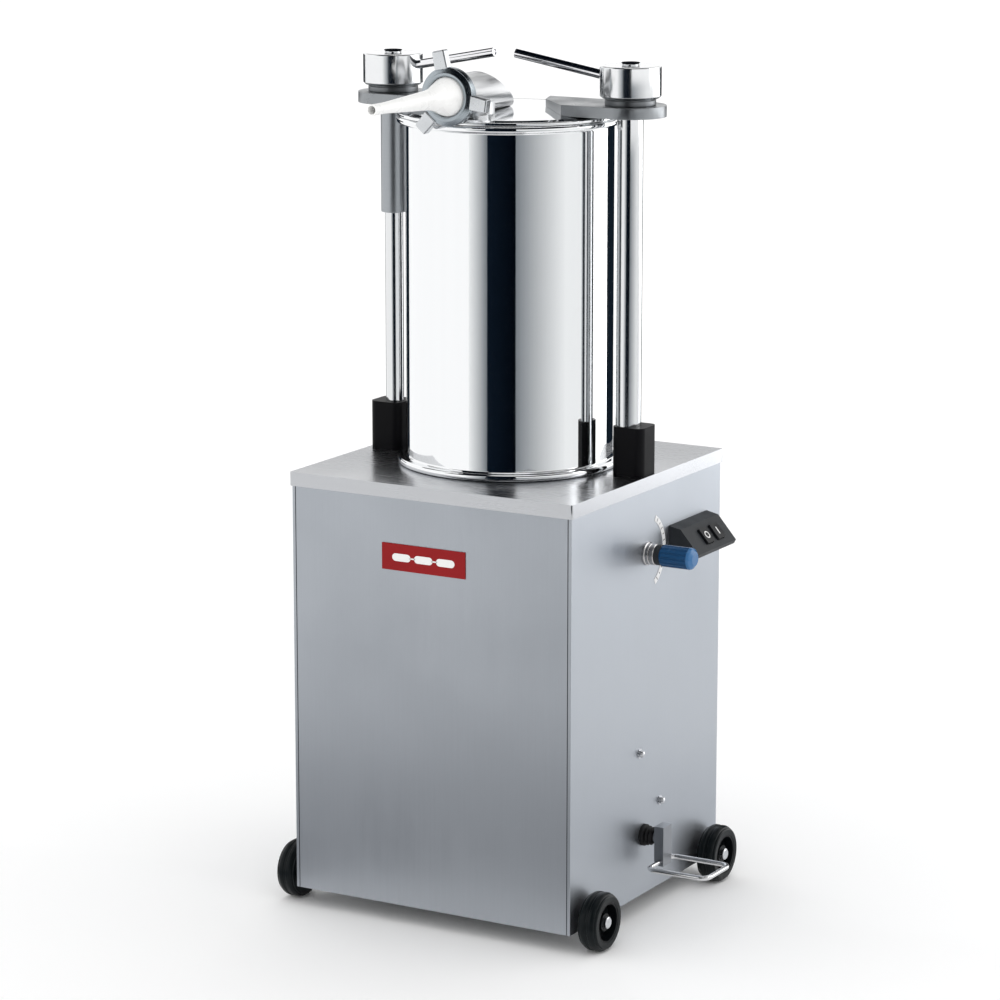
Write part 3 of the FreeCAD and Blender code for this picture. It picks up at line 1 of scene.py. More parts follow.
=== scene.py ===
"""Looks of the hydraulic sausage stuffer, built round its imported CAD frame.

Metres, +Z up, floor at z = 0, cylinder axis at x = y = 0. -Y is the front, where the nozzle
points, and +X is the right-hand face with the controls. Named angles are in degrees.
"""
import json
import math
import bmesh
import bpy
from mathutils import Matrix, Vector


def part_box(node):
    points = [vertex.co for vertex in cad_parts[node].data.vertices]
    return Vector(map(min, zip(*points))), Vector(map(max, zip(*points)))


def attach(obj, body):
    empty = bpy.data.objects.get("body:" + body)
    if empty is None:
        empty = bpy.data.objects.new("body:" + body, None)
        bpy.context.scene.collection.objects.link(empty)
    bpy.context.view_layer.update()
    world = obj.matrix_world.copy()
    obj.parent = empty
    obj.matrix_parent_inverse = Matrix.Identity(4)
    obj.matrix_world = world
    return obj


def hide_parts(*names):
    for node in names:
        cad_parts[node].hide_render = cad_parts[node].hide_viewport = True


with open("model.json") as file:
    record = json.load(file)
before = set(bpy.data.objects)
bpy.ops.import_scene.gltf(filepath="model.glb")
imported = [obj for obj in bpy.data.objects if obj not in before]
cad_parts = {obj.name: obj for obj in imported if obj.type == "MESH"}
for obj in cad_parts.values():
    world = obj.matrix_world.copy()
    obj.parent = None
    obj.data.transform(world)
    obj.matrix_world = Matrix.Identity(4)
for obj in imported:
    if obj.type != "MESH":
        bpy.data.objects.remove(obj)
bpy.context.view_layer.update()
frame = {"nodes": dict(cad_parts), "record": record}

MM = 0.001
X, Y, Z = Vector((1, 0, 0)), Vector((0, 1, 0)), Vector((0, 0, 1))
BODY_OF = {node: body for body, members in frame["record"]["behaviour"]["bodies"].items()
           for node in members}
SLOT_OF = {row["node"]: row["material_slot"] for row in frame["record"]["subparts"]}

# Driving sizes that a node's box doesn't give. Fillets stay with their profiles.

# meat cylinder
CAN_RADIUS = 141 * MM
CAN_BORE = 139 * MM
RIM_HIGH = 10 * MM

# lid
LID_CROWN_RADIUS = 137 * MM
LID_CROWN_FOOT = 5.8 * MM
LID_STEPS = 24
OUTLET_BORE = 18 * MM
OUTLET_HOLE_Y = -88 * MM
DRILL_PAST = 10 * MM

# columns, their studs and the hinge sleeve
SHOULDER_Z = 1092.8 * MM
STUD_RADIUS = 12 * MM
STUD_TIP_IN = 1.5 * MM
STUD_END_OVER = 0.2 * MM
STUD_END_DEEP = 0.8 * MM
STUD_END_PROUD = 0.1 * MM
THREAD_PITCH = 2 * MM
THREAD_DEEP = 1 * MM
SLEEVE_CLEARANCE = 0.1 * MM

# thrust washers, clamping knobs and their rods
STUD_CLEARANCE = 0.3 * MM
WASHER_NECK_IN = 3 * MM
WASHER_NECK_HIGH = 1.5 * MM
KNOB_FOOT_IN = 4 * MM
KNOB_FOOT_HIGH = 3.5 * MM
KNOB_MOUTH = 1 * MM
ROD_RADIUS = 6.2 * MM
ROD_RUN = 145 * MM
ROD_RISE = 10.5
ROD_LIP = 1.8 * MM
ROD_DIMPLE_IN = 2.2 * MM
ROD_DIMPLE_DEEP = 1.5 * MM
LEFT_HEADING, RIGHT_HEADING = -4.0, 184.5

# ring nut and its lugs
NUT_RADIUS = 38.5 * MM
NUT_THREAD = 30.4 * MM
NUT_HOLE = 26.6 * MM
NUT_CREST = 31 * MM
NUT_DOME_DEEP = 4 * MM
NUT_MOUTH_WIDE = 1.6 * MM
NUT_MOUTH_STEP = 0.5 * MM
NUT_MOUTH_DEEP = 2 * MM
NUT_LIP = 6 * MM
LUG_HEADINGS = (102, 228, 351)
LUG_ROOT_IN = 3 * MM
LUG_REACH = 61 * MM
LUG_HALF = 10 * MM
LUG_TAPER = 0.92
LUG_SET = 1.5 * MM
LUG_THICK = 13 * MM
LUG_EDGE = 2.2 * MM

# tyres
TYRE_WIDE = 29.5 * MM
TYRE_INBOARD = 1 * MM

# speed knob: its dark collar, and its cap as parts of the knob's radius
COLLAR_IN = 1 * MM
COLLAR_BORE_IN = 6 * MM
COLLAR_PROUD = 0.1 * MM
COLLAR_LONG = 8.2 * MM
CAP_FLAT = 0.62
CAP_SHOULDER = 0.95
CAP_SHOULDER_DOWN = 3.5 * MM
CAP_SKIRT_DOWN = 7.5 * MM
CAP_END_DOWN = 8 * MM
CAP_END_IN = 2 * MM
CAP_PROUD = 0.3 * MM
CAP_OVER = 0.1 * MM

# printed marks: the scale's ticks, the buttons' signs and the front plate's capsules
PRINT_THICK = 0.3 * MM
SCALE_HALF = 4 * MM
SCALE_SWEEP = 108.0
SCALE_TICKS = 11
TICK_HALF_LONG, TICK_HALF_SHORT = 2.6 * MM, 1.6 * MM
TICK_HALF_WIDE = 0.55 * MM
TICK_PROUD = 0.15 * MM
BUTTON_SLOPE = math.degrees(math.atan2(32.5, 28.0))  # fall over run of the sloping face
BUTTON_MARK_PROUD = 0.12 * MM
BAR_HALF_LONG, BAR_HALF_WIDE = 5.6 * MM, 1.2 * MM
RING_BORE, RING_RADIUS = 3.8 * MM, 5.6 * MM
PLATE_MARK_PROUD = 0.15 * MM
CAPSULE_STEP = 34 * MM
CAPSULE_HALF_LONG, CAPSULE_HALF_HIGH, CAPSULE_THICK = 9 * MM, 5.2 * MM, 0.4 * MM
LINK_HALF_LONG, LINK_HALF_HIGH, LINK_THICK = 3.5 * MM, 0.9 * MM, 0.3 * MM

# joints of the cabinet's sheets
SEAM_IN = 5 * MM
SEAM_WIDE = 1.2 * MM
SEAM_PROUD = 0.1 * MM

# bevels of the CAD nodes that stay shown, in millimetres
EDGE_WIDTHS = {
    "top_cover": 1.2, "switch_box": 0.9, "front_plate": 0.3, "lever_bar": 0.8, "lid_arms": 1.0,
    "outlet_elbow": 0.8, "left_column_block": 1.2, "right_column_block": 1.2,
    "start_button": 0.8, "stop_button": 0.8, "rear_panel": 0.3, "cabinet_shell": 0.5,
}
BEVEL_ANGLE = 40
SHARP_ANGLE = 32

# studio and camera
FLOOR_HALF = 40.0
FLOOR_SHADE = 0.985
WORLD_LIGHT = 1.12
ARC_STEPS = 12
WALL_AWAY = 1.75
GROUND_CARD_Z = 4 * MM
ROOF_CARD_Z = 3.0
CAMERA_TARGET = Vector((-6.0, -15.9, 558.0)) * MM
CAMERA_AZIMUTH, CAMERA_ELEVATION = 29.85, 12.14
CAMERA_AWAY = 5.1358
CAMERA_LENS_MM, CAMERA_SENSOR_MM = 135.0, 36.0
CAMERA_SEES_TO = 100.0


# ---- node materials --------------------------------------------------------------------

NOISE_LOW, NOISE_HIGH = 0.3, 0.7  # most of a noise's values lie between these
SMUDGE = 0.05
SMOOTHEST = 0.01
ALONG_X, ALONG_Z, ROUND = (0.02, 1, 1), (1, 1, 0.02), (0.05, 0.05, 1)
POLISHING_LINES = (1, 1, 0.05)


class Shader:
    """A Principled material, with the few node chains that the surfaces share."""

    def __init__(self, name, colour, metal, rough, **constants):
        self.material = bpy.data.materials.new(name)
        self.material.use_nodes = True
        self.tree = self.material.node_tree
        self.surface = self.tree.nodes["Principled BSDF"]
        self.set("Base Color", (*colour, 1.0))
        self.set("Metallic", metal)
        self.set("Roughness", rough)
        for socket, value in constants.items():
            self.set(socket.replace("_", " "), value)
        self.where = self.add("ShaderNodeTexCoord").outputs["Object"]
        self.colour = colour
        self.bump_out = None

    def set(self, socket, value):
        self.surface.inputs[socket].default_value = value

    def add(self, kind, **inputs):
        made = self.tree.nodes.new(kind)
        for name, value in inputs.items():
            made.inputs[name].default_value = value
        return made

    def link(self, out, into):
        self.tree.links.new(out, into)

    def noise(self, scale, detail, roughness=0.55, stretch=(1, 1, 1)):
        """Noise in the object's own space, in features per metre on each axis."""
        mapping = self.add("ShaderNodeMapping", Scale=tuple(scale * s for s in stretch))
        made = self.add("ShaderNodeTexNoise", Scale=1.0, Detail=detail, Roughness=roughness)
        self.link(self.where, mapping.inputs["Vector"])
        self.link(mapping.outputs["Vector"], made.inputs["Vector"])
        return made.outputs["Fac"]

    def spread(self, noise, low, high):
        """A noise's usual range mapped onto low..high."""
        made = self.add("ShaderNodeMapRange")
        for name, value in (("From Min", NOISE_LOW), ("From Max", NOISE_HIGH),
                            ("To Min", low), ("To Max", high)):
            made.inputs[name].default_value = value
        self.link(noise, made.inputs["Value"])
        return made.outputs["Result"]

    def vary_colour(self, noise, share):
        """Colour that a noise darkens and lightens by a share of itself."""
        ramp = self.add("ShaderNodeValToRGB")
        dark, light = ramp.color_ramp.elements
        dark.position, light.position = NOISE_LOW, NOISE_HIGH
        dark.color = (*(c * (1 - share) for c in self.colour), 1.0)
        light.color = (*(min(1.0, c * (1 + share)) for c in self.colour), 1.0)
        self.link(noise, ramp.inputs["Fac"])
        self.link(ramp.outputs["Color"], self.surface.inputs["Base Color"])

    def vary_rough(self, noise, low, high):
        self.link(self.spread(noise, low, high), self.surface.inputs["Roughness"])

    def bump(self, noise, strength, distance):
        """Adds relief; later calls build on earlier ones."""
        made = self.add("ShaderNodeBump", Strength=strength, Distance=distance)
        self.link(noise, made.inputs["Height"])
        if self.bump_out is not None:
            self.link(self.bump_out, made.inputs["Normal"])
        self.bump_out = made.outputs["Normal"]
        self.link(self.bump_out, self.surface.inputs["Normal"])


def brushed(name, colour, rough, grain, streak):
    """Brushed steel: grain gives the stretch of the strokes on each axis (small = along)."""
    made = Shader(name, colour, 1.0, rough)
    strokes = made.noise(scale=420, detail=5, roughness=0.7, stretch=grain)
    cloud = made.noise(scale=5, detail=3, roughness=0.5)
    made.vary_colour(strokes, streak)
    both = made.add("ShaderNodeMath")
    both.operation = "ADD"
    made.link(made.spread(strokes, -SMUDGE, SMUDGE), both.inputs[0])
    made.link(made.spread(cloud, rough - SMUDGE, rough + SMUDGE), both.inputs[1])
    made.link(both.outputs[0], made.surface.inputs["Roughness"])
    made.bump(strokes, strength=0.05, distance=0.4 * MM)
    return made.material


def polished(name, colour, rough, smear=0.02):
    """Mirror steel: faint polishing lines and a breath of smears."""
    made = Shader(name, colour, 1.0, rough)
    made.vary_rough(made.noise(scale=7, detail=4, roughness=0.6),
                    max(SMOOTHEST, rough - smear), rough + smear)
    made.bump(made.noise(scale=260, detail=3, roughness=0.6, stretch=POLISHING_LINES),
              strength=0.012, distance=0.3 * MM)
    return made.material


def moulded(name, colour, rough, grain=900, relief=0.08, share=0.12, **constants):
    """Moulded plastic or rubber: fine grain, and slow change of tone and gloss."""
    made = Shader(name, colour, 0.0, rough, **constants)
    cloud = made.noise(scale=22, detail=4, roughness=0.6)
    made.vary_colour(cloud, share)
    made.vary_rough(cloud, rough * 0.88, min(1.0, rough * 1.15))
    made.bump(made.noise(scale=grain, detail=2, roughness=0.5), relief, distance=0.3 * MM)
    return made.material


def painted(name, colour, rough=0.4):
    """Sprayed paint under a thin clear coat, with a slight orange peel."""
    made = Shader(name, colour, 0.0, rough, Coat_Weight=0.25, Coat_Roughness=0.2)
    made.vary_colour(made.noise(scale=9, detail=4), 0.08)
    made.bump(made.noise(scale=330, detail=2), strength=0.06, distance=0.4 * MM)
    return made.material


def cast_metal(name, colour, rough):
    """Cast or blasted metal: a cloudy tone over a fine, hard grain."""
    made = Shader(name, colour, 1.0, rough)
    cloud = made.noise(scale=30, detail=4)
    made.vary_colour(cloud, 0.1)
    made.vary_rough(cloud, rough - 0.08, rough + 0.1)
    made.bump(made.noise(scale=1100, detail=3, roughness=0.7), strength=0.25, distance=0.3 * MM)
    return made.material


def matt(name, colour, rough, relief, gloss):
    """Black or dark plastic that mirrors almost nothing."""
    return moulded(name, colour, rough, 900, relief, 0.1, Specular_IOR_Level=gloss)


MATERIALS = {
    "brushed_cabinet": brushed("brushed_cabinet", (0.41, 0.435, 0.47), 0.40, ALONG_Z, 0.03),
    "brushed_cover": brushed("brushed_cover", (0.50, 0.51, 0.53), 0.24, ALONG_X, 0.03),
    "mirror_steel": polished("mirror_steel", (0.86, 0.87, 0.88), 0.045),
    "polished_column": polished("polished_column", (0.74, 0.75, 0.76), 0.12),
    "satin_sleeve": brushed("satin_sleeve", (0.36, 0.38, 0.40), 0.34, ROUND, 0.03),
    "cast_arm": cast_metal("cast_arm", (0.31, 0.325, 0.34), 0.34),
    "ring_metal": cast_metal("ring_metal", (0.36, 0.40, 0.43), 0.22),
    "lug_metal": cast_metal("lug_metal", (0.62, 0.64, 0.66), 0.24),
    "outlet_steel": polished("outlet_steel", (0.80, 0.81, 0.82), 0.3),
    "knob_chrome": polished("knob_chrome", (0.80, 0.81, 0.82), 0.16),
    "rod_chrome": polished("rod_chrome", (0.82, 0.82, 0.84), 0.07),
    "dark_washer": cast_metal("dark_washer", (0.20, 0.21, 0.22), 0.36),
    # flat black with no sheen: painted shade, used for the dark recess on the studs' tops
    "painted_recess_shade": matt("painted_recess_shade", (0.006, 0.007, 0.009), 0.8, 0.05, 0.0),
    "seam": matt("seam", (0.012, 0.014, 0.016), 0.6, 0.05, 0.2),
    "ink": matt("ink", (0.02, 0.02, 0.022), 0.6, 0.03, 0.3),
    "mark_white": moulded("mark_white", (0.80, 0.80, 0.79), 0.4, 700, 0.03, 0.02),
    "blue_cap": moulded("blue_cap", (0.035, 0.14, 0.32), 0.22, 500, 0.04, 0.05),
    "black_block": moulded("black_block", (0.005, 0.005, 0.006), 0.38, 700,
                           Specular_IOR_Level=0.06),
    "white_nozzle": moulded("white_nozzle", (0.93, 0.93, 0.92), 0.28, 500, 0.03, 0.02),
    "seal_rubber": moulded("seal_rubber", (0.008, 0.008, 0.009), 0.6, 600,
                           Specular_IOR_Level=0.2),
    "wheel_tread": moulded("wheel_tread", (0.003, 0.005, 0.006), 0.3, 800,
                           Specular_IOR_Level=0.14),
    "wheel_hub": moulded("wheel_hub", (0.003, 0.004, 0.005), 0.34, 900,
                         Specular_IOR_Level=0.12),
    "fastener_steel": polished("fastener_steel", (0.60, 0.61, 0.63), 0.28, 0.06),
    "gland_plastic": moulded("gland_plastic", (0.02, 0.02, 0.022), 0.5),
    "red_label": moulded("red_label", (0.26, 0.012, 0.014), 0.4, 500, 0.03, 0.05,
                         Specular_IOR_Level=0.1),
    "scale_film": moulded("scale_film", (0.80, 0.80, 0.80), 0.35, 400, 0.02, 0.02),
    "blue_grip": moulded("blue_grip", (0.010, 0.060, 0.155), 0.26, 500, 0.05,
                         Specular_IOR_Level=0.35),
    "bush_chrome": polished("bush_chrome", (0.44, 0.43, 0.43), 0.22, 0.05),
    "switch_black": moulded("switch_black", (0.022, 0.025, 0.029), 0.5, 900, 0.2,
                            Specular_IOR_Level=0.25),
    "button_grey": moulded("button_grey", (0.008, 0.009, 0.011), 0.36, 900,
                           Specular_IOR_Level=0.25),
    "lever_steel": brushed("lever_steel", (0.28, 0.29, 0.31), 0.34, ALONG_Z, 0.05),
    "loop_steel": polished("loop_steel", (0.66, 0.66, 0.67), 0.14, 0.04),
    "frame_steel": painted("frame_steel", (0.20, 0.21, 0.22), 0.5),
    "ram_steel": brushed("ram_steel", (0.38, 0.39, 0.41), 0.35, ALONG_Z, 0.04),
    "motor_paint": painted("motor_paint", (0.05, 0.09, 0.14)),
    "pump_alloy": cast_metal("pump_alloy", (0.55, 0.56, 0.57), 0.42),
    "rotor_steel": cast_metal("rotor_steel", (0.16, 0.16, 0.17), 0.4),
}


# ---- mesh helpers ----------------------------------------------------------------------


def finish_mesh(name, builder, sharp=SHARP_ANGLE):
    """A smooth-shaded object from a bmesh, with edges sharper than an angle kept crisp."""
    mesh = bpy.data.meshes.new(name)
    bmesh.ops.recalc_face_normals(builder, faces=builder.faces)
    builder.to_mesh(mesh)
    builder.free()
    mesh.shade_smooth()
    mesh.set_sharp_from_angle(angle=math.radians(sharp))
    made = bpy.data.objects.new(name, mesh)
    bpy.context.scene.collection.objects.link(made)
    return made


def rounded(profile, closed, steps):
    """Points along a profile of (radius, height) or (radius, height, fillet) corners."""
    count = len(profile)
    points = []
    for i, corner in enumerate(profile):
        here = Vector(corner[:2])
        fillet = corner[2] if len(corner) > 2 else 0.0
        if fillet <= 0 or (not closed and i in (0, count - 1)):
            points.append(here)
            continue
        before = Vector(profile[i - 1][:2]) - here
        after = Vector(profile[(i + 1) % count][:2]) - here
        half = before.angle(after) / 2
        # a fillet takes just under half of either side, so two of them never meet
        back = min(fillet / math.tan(half), before.length * 0.49, after.length * 0.49)
        start, end = here + before.normalized() * back, here + after.normalized() * back
        for k in range(steps + 1):
            t = k / steps
            points.append(start * (1 - t) ** 2 + here * 2 * t * (1 - t) + end * t ** 2)
    return points


def lathe(name, profile, origin=(0, 0, 0), axis=Z, *, segments, closed=True, sharp=SHARP_ANGLE,
          steps=5):
    """Turns a profile about an axis. Closed profiles make rings, open ones start and end on it."""
    axis = Vector(axis).normalized()
    side = axis.orthogonal().normalized()
    other = axis.cross(side)
    origin = Vector(origin)
    builder = bmesh.new()
    rings = []
    for radius, along in rounded(profile, closed, steps):
        if radius < 1e-7:  # on the axis, so one vertex is the whole ring
            rings.append([builder.verts.new(origin + axis * along)])
            continue
        ring = []
        for k in range(segments):
            turn = 2 * math.pi * k / segments
            out = side * math.cos(turn) + other * math.sin(turn)
            ring.append(builder.verts.new(origin + axis * along + out * radius))
        rings.append(ring)
    pairs = list(zip(rings, rings[1:]))
    if closed:
        pairs.append((rings[-1], rings[0]))
    for one, two in pairs:
        for k in range(segments):
            after = (k + 1) % segments
            corners = [one[k % len(one)], one[after % len(one)],
                       two[after % len(two)], two[k % len(two)]]
            unique = list(dict.fromkeys(corners))
            if len(unique) > 2:
                builder.faces.new(unique)
    return finish_mesh(name, builder, sharp)


def slab(name, corners, normal, depth):
    """A flat plate with the given outline, sunk by depth along minus its normal."""
    builder = bmesh.new()
    face = builder.faces.new([builder.verts.new(Vector(c)) for c in corners])
    grown = bmesh.ops.extrude_face_region(builder, geom=[face])["geom"]
    bmesh.ops.translate(builder, vec=Vector(normal).normalized() * -depth,
                        verts=[v for v in grown if isinstance(v, bmesh.types.BMVert)])
    return finish_mesh(name, builder)


def rectangle(middle, along, across, half_long, half_wide):
    """The four corners of a rectangle, for a slab."""
    return [middle + along * a * half_long + across * b * half_wide
            for a, b in ((-1, -1), (1, -1), (1, 1), (-1, 1))]


def add_bevel(thing, width, segments=3, weld=False):
    """Rounds a mesh's edges. Welding first joins the split vertices of a CAD mesh."""
    if weld:
        welded = thing.modifiers.new("weld", "WELD")
        welded.merge_threshold = 1e-6
    made = thing.modifiers.new("edges", "BEVEL")
    made.width = width
    made.segments = segments
    made.limit_method = "ANGLE"
    made.angle_limit = math.radians(BEVEL_ANGLE)
    made.harden_normals = True


def paint(thing, material):
    thing.data.materials.clear()
    thing.data.materials.append(material)


def stand_for(node, thing, material=None):
    """A piece that replaces a CAD node rides on its body and takes its slot and material."""
    paint(thing, MATERIALS[material or SLOT_OF[node]])
    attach(thing, BODY_OF[node])
    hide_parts(node)


def add_to(node, thing, material):
    """An extra piece on the body of a CAD node that stays shown."""
    paint(thing, MATERIALS[material])
    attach(thing, BODY_OF[node])


def sized(points):
    """A profile given in millimetres, in metres."""
    return [tuple(value * MM for value in point) for point in points]


def middle_of(node):
    low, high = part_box(node)
    return (low + high) / 2


def on_axis(node, axis):
    """A point on a turned node's own axis, level with the frame's origin."""
    middle = middle_of(node)
    return middle - axis * middle.dot(axis)


# ---- CAD nodes that stay ---------------------------------------------------------------


def dress_cad_nodes():
    for name, node in frame["nodes"].items():
        paint(node, MATERIALS[SLOT_OF[name]])
    paint(frame["nodes"]["outlet_elbow"], MATERIALS["outlet_steel"])
    for name, width in EDGE_WIDTHS.items():
        add_bevel(frame["nodes"][name], width * MM, weld=True)


# ---- turned pieces that replace CAD nodes ----------------------------------------------


def make_can():
    low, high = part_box("meat_cylinder")
    rim, edge, root = high.x, RIM_HIGH / 2, 3 * MM
    under, over = low.z + RIM_HIGH, high.z - RIM_HIGH
    profile = [(CAN_BORE, low.z), (rim, low.z, edge), (rim, under, edge),
               (CAN_RADIUS, under, root), (CAN_RADIUS, over, root), (rim, over, edge),
               (rim, high.z, edge), (CAN_BORE, high.z)]
    stand_for("meat_cylinder", lathe("meat_cylinder_shell", profile, segments=320))


def drill(thing, radius, foot, top):
    """An upright hole from a point to a height, cut once and for all."""
    cutter = lathe("drill", [(0, foot.z), (radius, foot.z), (radius, top), (0, top)],
                   (foot.x, foot.y, 0), closed=False, segments=96)
    hole = thing.modifiers.new("hole", "BOOLEAN")
    hole.operation = "DIFFERENCE"
    hole.object = cutter
    graph = bpy.context.evaluated_depsgraph_get()
    mesh = bpy.data.meshes.new_from_object(thing.evaluated_get(graph))
    thing.modifiers.clear()
    thing.data = mesh
    bpy.data.objects.remove(cutter)


def make_lid():
    low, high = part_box("lid_disc")
    # radius, height above the underside, and fillet: gasket groove, then a rolled edge
    edge = sized([(0, 0), (138, 0), (138, 2.4), (149, 2.4), (149, 0), (152, 0, 1.0),
                  (152, 4.2, 3.0), (149.2, 5.2, 2.0), (147.2, 2.2, 1.0)])
    edge.append((LID_CROWN_RADIUS, LID_CROWN_FOOT, 0.6 * MM))
    profile = [(radius, low.z + height, *fillet) for radius, height, *fillet in edge]
    rise = high.z - low.z - LID_CROWN_FOOT
    for step in range(LID_STEPS, -1, -1):
        part = step / (LID_STEPS + 1)
        profile.append((LID_CROWN_RADIUS * part, high.z - rise * part ** 2))
    disc = lathe("lid_plate", profile, closed=False, segments=320)
    drill(disc, OUTLET_BORE, Vector((0, OUTLET_HOLE_Y, low.z - DRILL_PAST)), high.z + DRILL_PAST)
    stand_for("lid_disc", disc)


def make_column(side):
    """The bar, its stud with rings for a thread, and a black disc on the stud's top that is
    painted shade for its recess.
    """
    node = f"{side}_column"
    low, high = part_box(node)
    radius = (high.x - low.x) / 2
    at = on_axis(node, Z)
    bar = [(0, low.z), (radius, low.z, 1 * MM), (radius, SHOULDER_Z, 0.6 * MM), (0, SHOULDER_Z)]
    stand_for(node, lathe(f"{side}_column_bar", bar, at, closed=False, segments=160))

    valley = STUD_RADIUS - THREAD_DEEP
    stud = [(0, SHOULDER_Z), (valley, SHOULDER_Z)]
    for turn in range(int((high.z - SHOULDER_Z) / THREAD_PITCH)):
        foot = SHOULDER_Z + turn * THREAD_PITCH
        stud += [(valley, foot), (STUD_RADIUS, foot + THREAD_PITCH / 2)]
    stud += [(STUD_RADIUS - STUD_TIP_IN, high.z), (0, high.z)]
    stand_for(node, lathe(f"{side}_stud", stud, at, closed=False, segments=72, sharp=60))

    # a thin black disc over the stud's top: painted shade standing in for the dark recess there
    cap, under, over = STUD_RADIUS + STUD_END_OVER, high.z - STUD_END_DEEP, high.z + STUD_END_PROUD
    end = [(0, under), (cap, under), (cap, over, 0.3 * MM), (0, over)]
    stand_for(node, lathe(f"{side}_stud_painted_shade", end, at, closed=False, segments=72), "painted_recess_shade")


def make_hinge_sleeve():
    low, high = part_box("hinge_sleeve")
    radius = (high.x - low.x) / 2
    column_low, column_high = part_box("left_column")
    bore = (column_high.x - column_low.x) / 2 + SLEEVE_CLEARANCE
    sleeve = [(bore, low.z), (radius, low.z, 1.2 * MM), (radius, high.z, 0.3 * MM),
              (bore, high.z)]
    stand_for("hinge_sleeve", lathe("sleeve_tube", sleeve, on_axis("hinge_sleeve", Z),
                                    segments=120))


def make_clamp(side, heading):
    """A thrust washer, the knob on it and the knob's lever rod, which points to a heading."""
    bore = STUD_RADIUS + STUD_CLEARANCE
    node = f"{side}_thrust_washer"
    low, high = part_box(node)
    radius = (high.x - low.x) / 2
    neck, seat = radius - WASHER_NECK_IN, high.z - WASHER_NECK_HIGH
    washer = [(bore, low.z), (radius, low.z, 0.6 * MM), (radius, seat, 0.8 * MM), (neck, seat),
              (neck, high.z), (bore, high.z)]
    stand_for(node, lathe(f"{side}_washer_ring", washer, on_axis(node, Z), segments=96))

    node = f"{side}_knob"
    low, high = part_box(node)
    radius = (high.x - low.x) / 2
    knob = [(bore, low.z), (radius - KNOB_FOOT_IN, low.z, 0.6 * MM),
            (radius, low.z + KNOB_FOOT_HIGH, 1 * MM), (radius, high.z, 1.8 * MM),
            (bore + KNOB_MOUTH, high.z, 0.3 * MM), (bore, high.z - KNOB_MOUTH)]
    stand_for(node, lathe(f"{side}_knob_body", knob, on_axis(node, Z), segments=256))

    node = f"{side}_lever_rod"
    turn, rise = math.radians(heading), math.radians(ROD_RISE)
    along = Vector((math.cos(turn) * math.cos(rise), math.sin(turn) * math.cos(rise),
                    math.sin(rise)))
    half = ROD_RUN / math.cos(rise) / 2
    rod = [(0, -half), (ROD_RADIUS, -half), (ROD_RADIUS, half, 0.8 * MM),
           (ROD_RADIUS - ROD_LIP, half, 0.3 * MM),
           (ROD_RADIUS - ROD_DIMPLE_IN, half - ROD_DIMPLE_DEEP), (0, half - ROD_DIMPLE_DEEP)]
    stand_for(node, lathe(f"{side}_rod", rod, middle_of(node), along, closed=False, segments=72))


def make_nozzle():
    # radius, distance in front of the cylinder's axis, and fillet
    profile = sized([(29.4, 159.3, 0.5), (29.4, 163.7, 0.5), (26.2, 163.7), (26.2, 165.0, 1.0),
                     (24.5, 170.5, 4.0), (15.8, 197.0, 60.0), (13.0, 213.0, 80.0),
                     (7.2, 322.0, 200.0), (7.2, 352.0, 0.8), (5.4, 352.0, 0.8), (5.4, 322.0),
                     (10.8, 212.0, 40.0), (20.0, 170.0, 10.0), (20.0, 159.3)])
    stand_for("filling_nozzle", lathe("nozzle_horn", profile, on_axis("filling_nozzle", -Y), -Y,
                                      segments=160, steps=16))


def make_ring_nut():
    low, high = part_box("ring_nut")
    back, front = -high.y, -low.y
    at = on_axis("filling_nozzle", -Y)
    profile = [(NUT_THREAD, back, 0.3 * MM), (NUT_RADIUS, back, 1.5 * MM),
               (NUT_RADIUS, front - NUT_DOME_DEEP, 1.5 * MM), (NUT_CREST, front, 9 * MM),
               (NUT_HOLE + NUT_MOUTH_WIDE, front - NUT_MOUTH_STEP),
               (NUT_HOLE, front - NUT_MOUTH_DEEP, 0.3 * MM), (NUT_HOLE, front - NUT_LIP, 0.3 * MM),
               (NUT_THREAD, front - NUT_LIP)]
    stand_for("ring_nut", lathe("nut_ring", profile, at, -Y, segments=160, steps=8))

    face = at + Y * (low.y + LUG_SET)
    root, tip_half = NUT_RADIUS - LUG_ROOT_IN, LUG_HALF * LUG_TAPER
    for index, heading in enumerate(LUG_HEADINGS):
        turn = math.radians(heading)
        out = Vector((math.cos(turn), 0, math.sin(turn)))
        across = Vector((-math.sin(turn), 0, math.cos(turn)))
        corners = [face + out * reach + across * half
                   for reach, half in ((root, -LUG_HALF), (LUG_REACH, -tip_half),
                                       (LUG_REACH, tip_half), (root, LUG_HALF))]
        lug = slab(f"nut_lug_{index + 1}", corners, -Y, LUG_THICK)
        add_bevel(lug, LUG_EDGE, segments=4)
        stand_for("ring_nut", lug, "lug_metal")


def make_wheels():
    # radius, distance from a point just inboard of the tyre, and fillet
    half = sized([(28.0, 1.0), (34.6, 0.6, 1.0), (36.4, 1.6, 0.6), (36.4, 3.4, 0.4),
                  (38.0, 4.2, 0.5), (39.2, 6.2, 0.8), (40.0, 8.4, 1.0), (40.0, 12.0, 0.4),
                  (39.1, 12.8, 0.4)])
    other = [(radius, TYRE_WIDE - along, *fillet) for radius, along, *fillet in reversed(half)]
    for end in ("front", "rear"):
        for side, out in (("left", -X), ("right", X)):
            node = f"{end}_{side}_tyre"
            low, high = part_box(node)
            at = middle_of(node)
            at.x = (high.x if side == "left" else low.x) - out.x * TYRE_INBOARD
            stand_for(node, lathe(f"{end}_{side}_tread", half + other, at, out, segments=144))


# ---- small details ---------------------------------------------------------------------


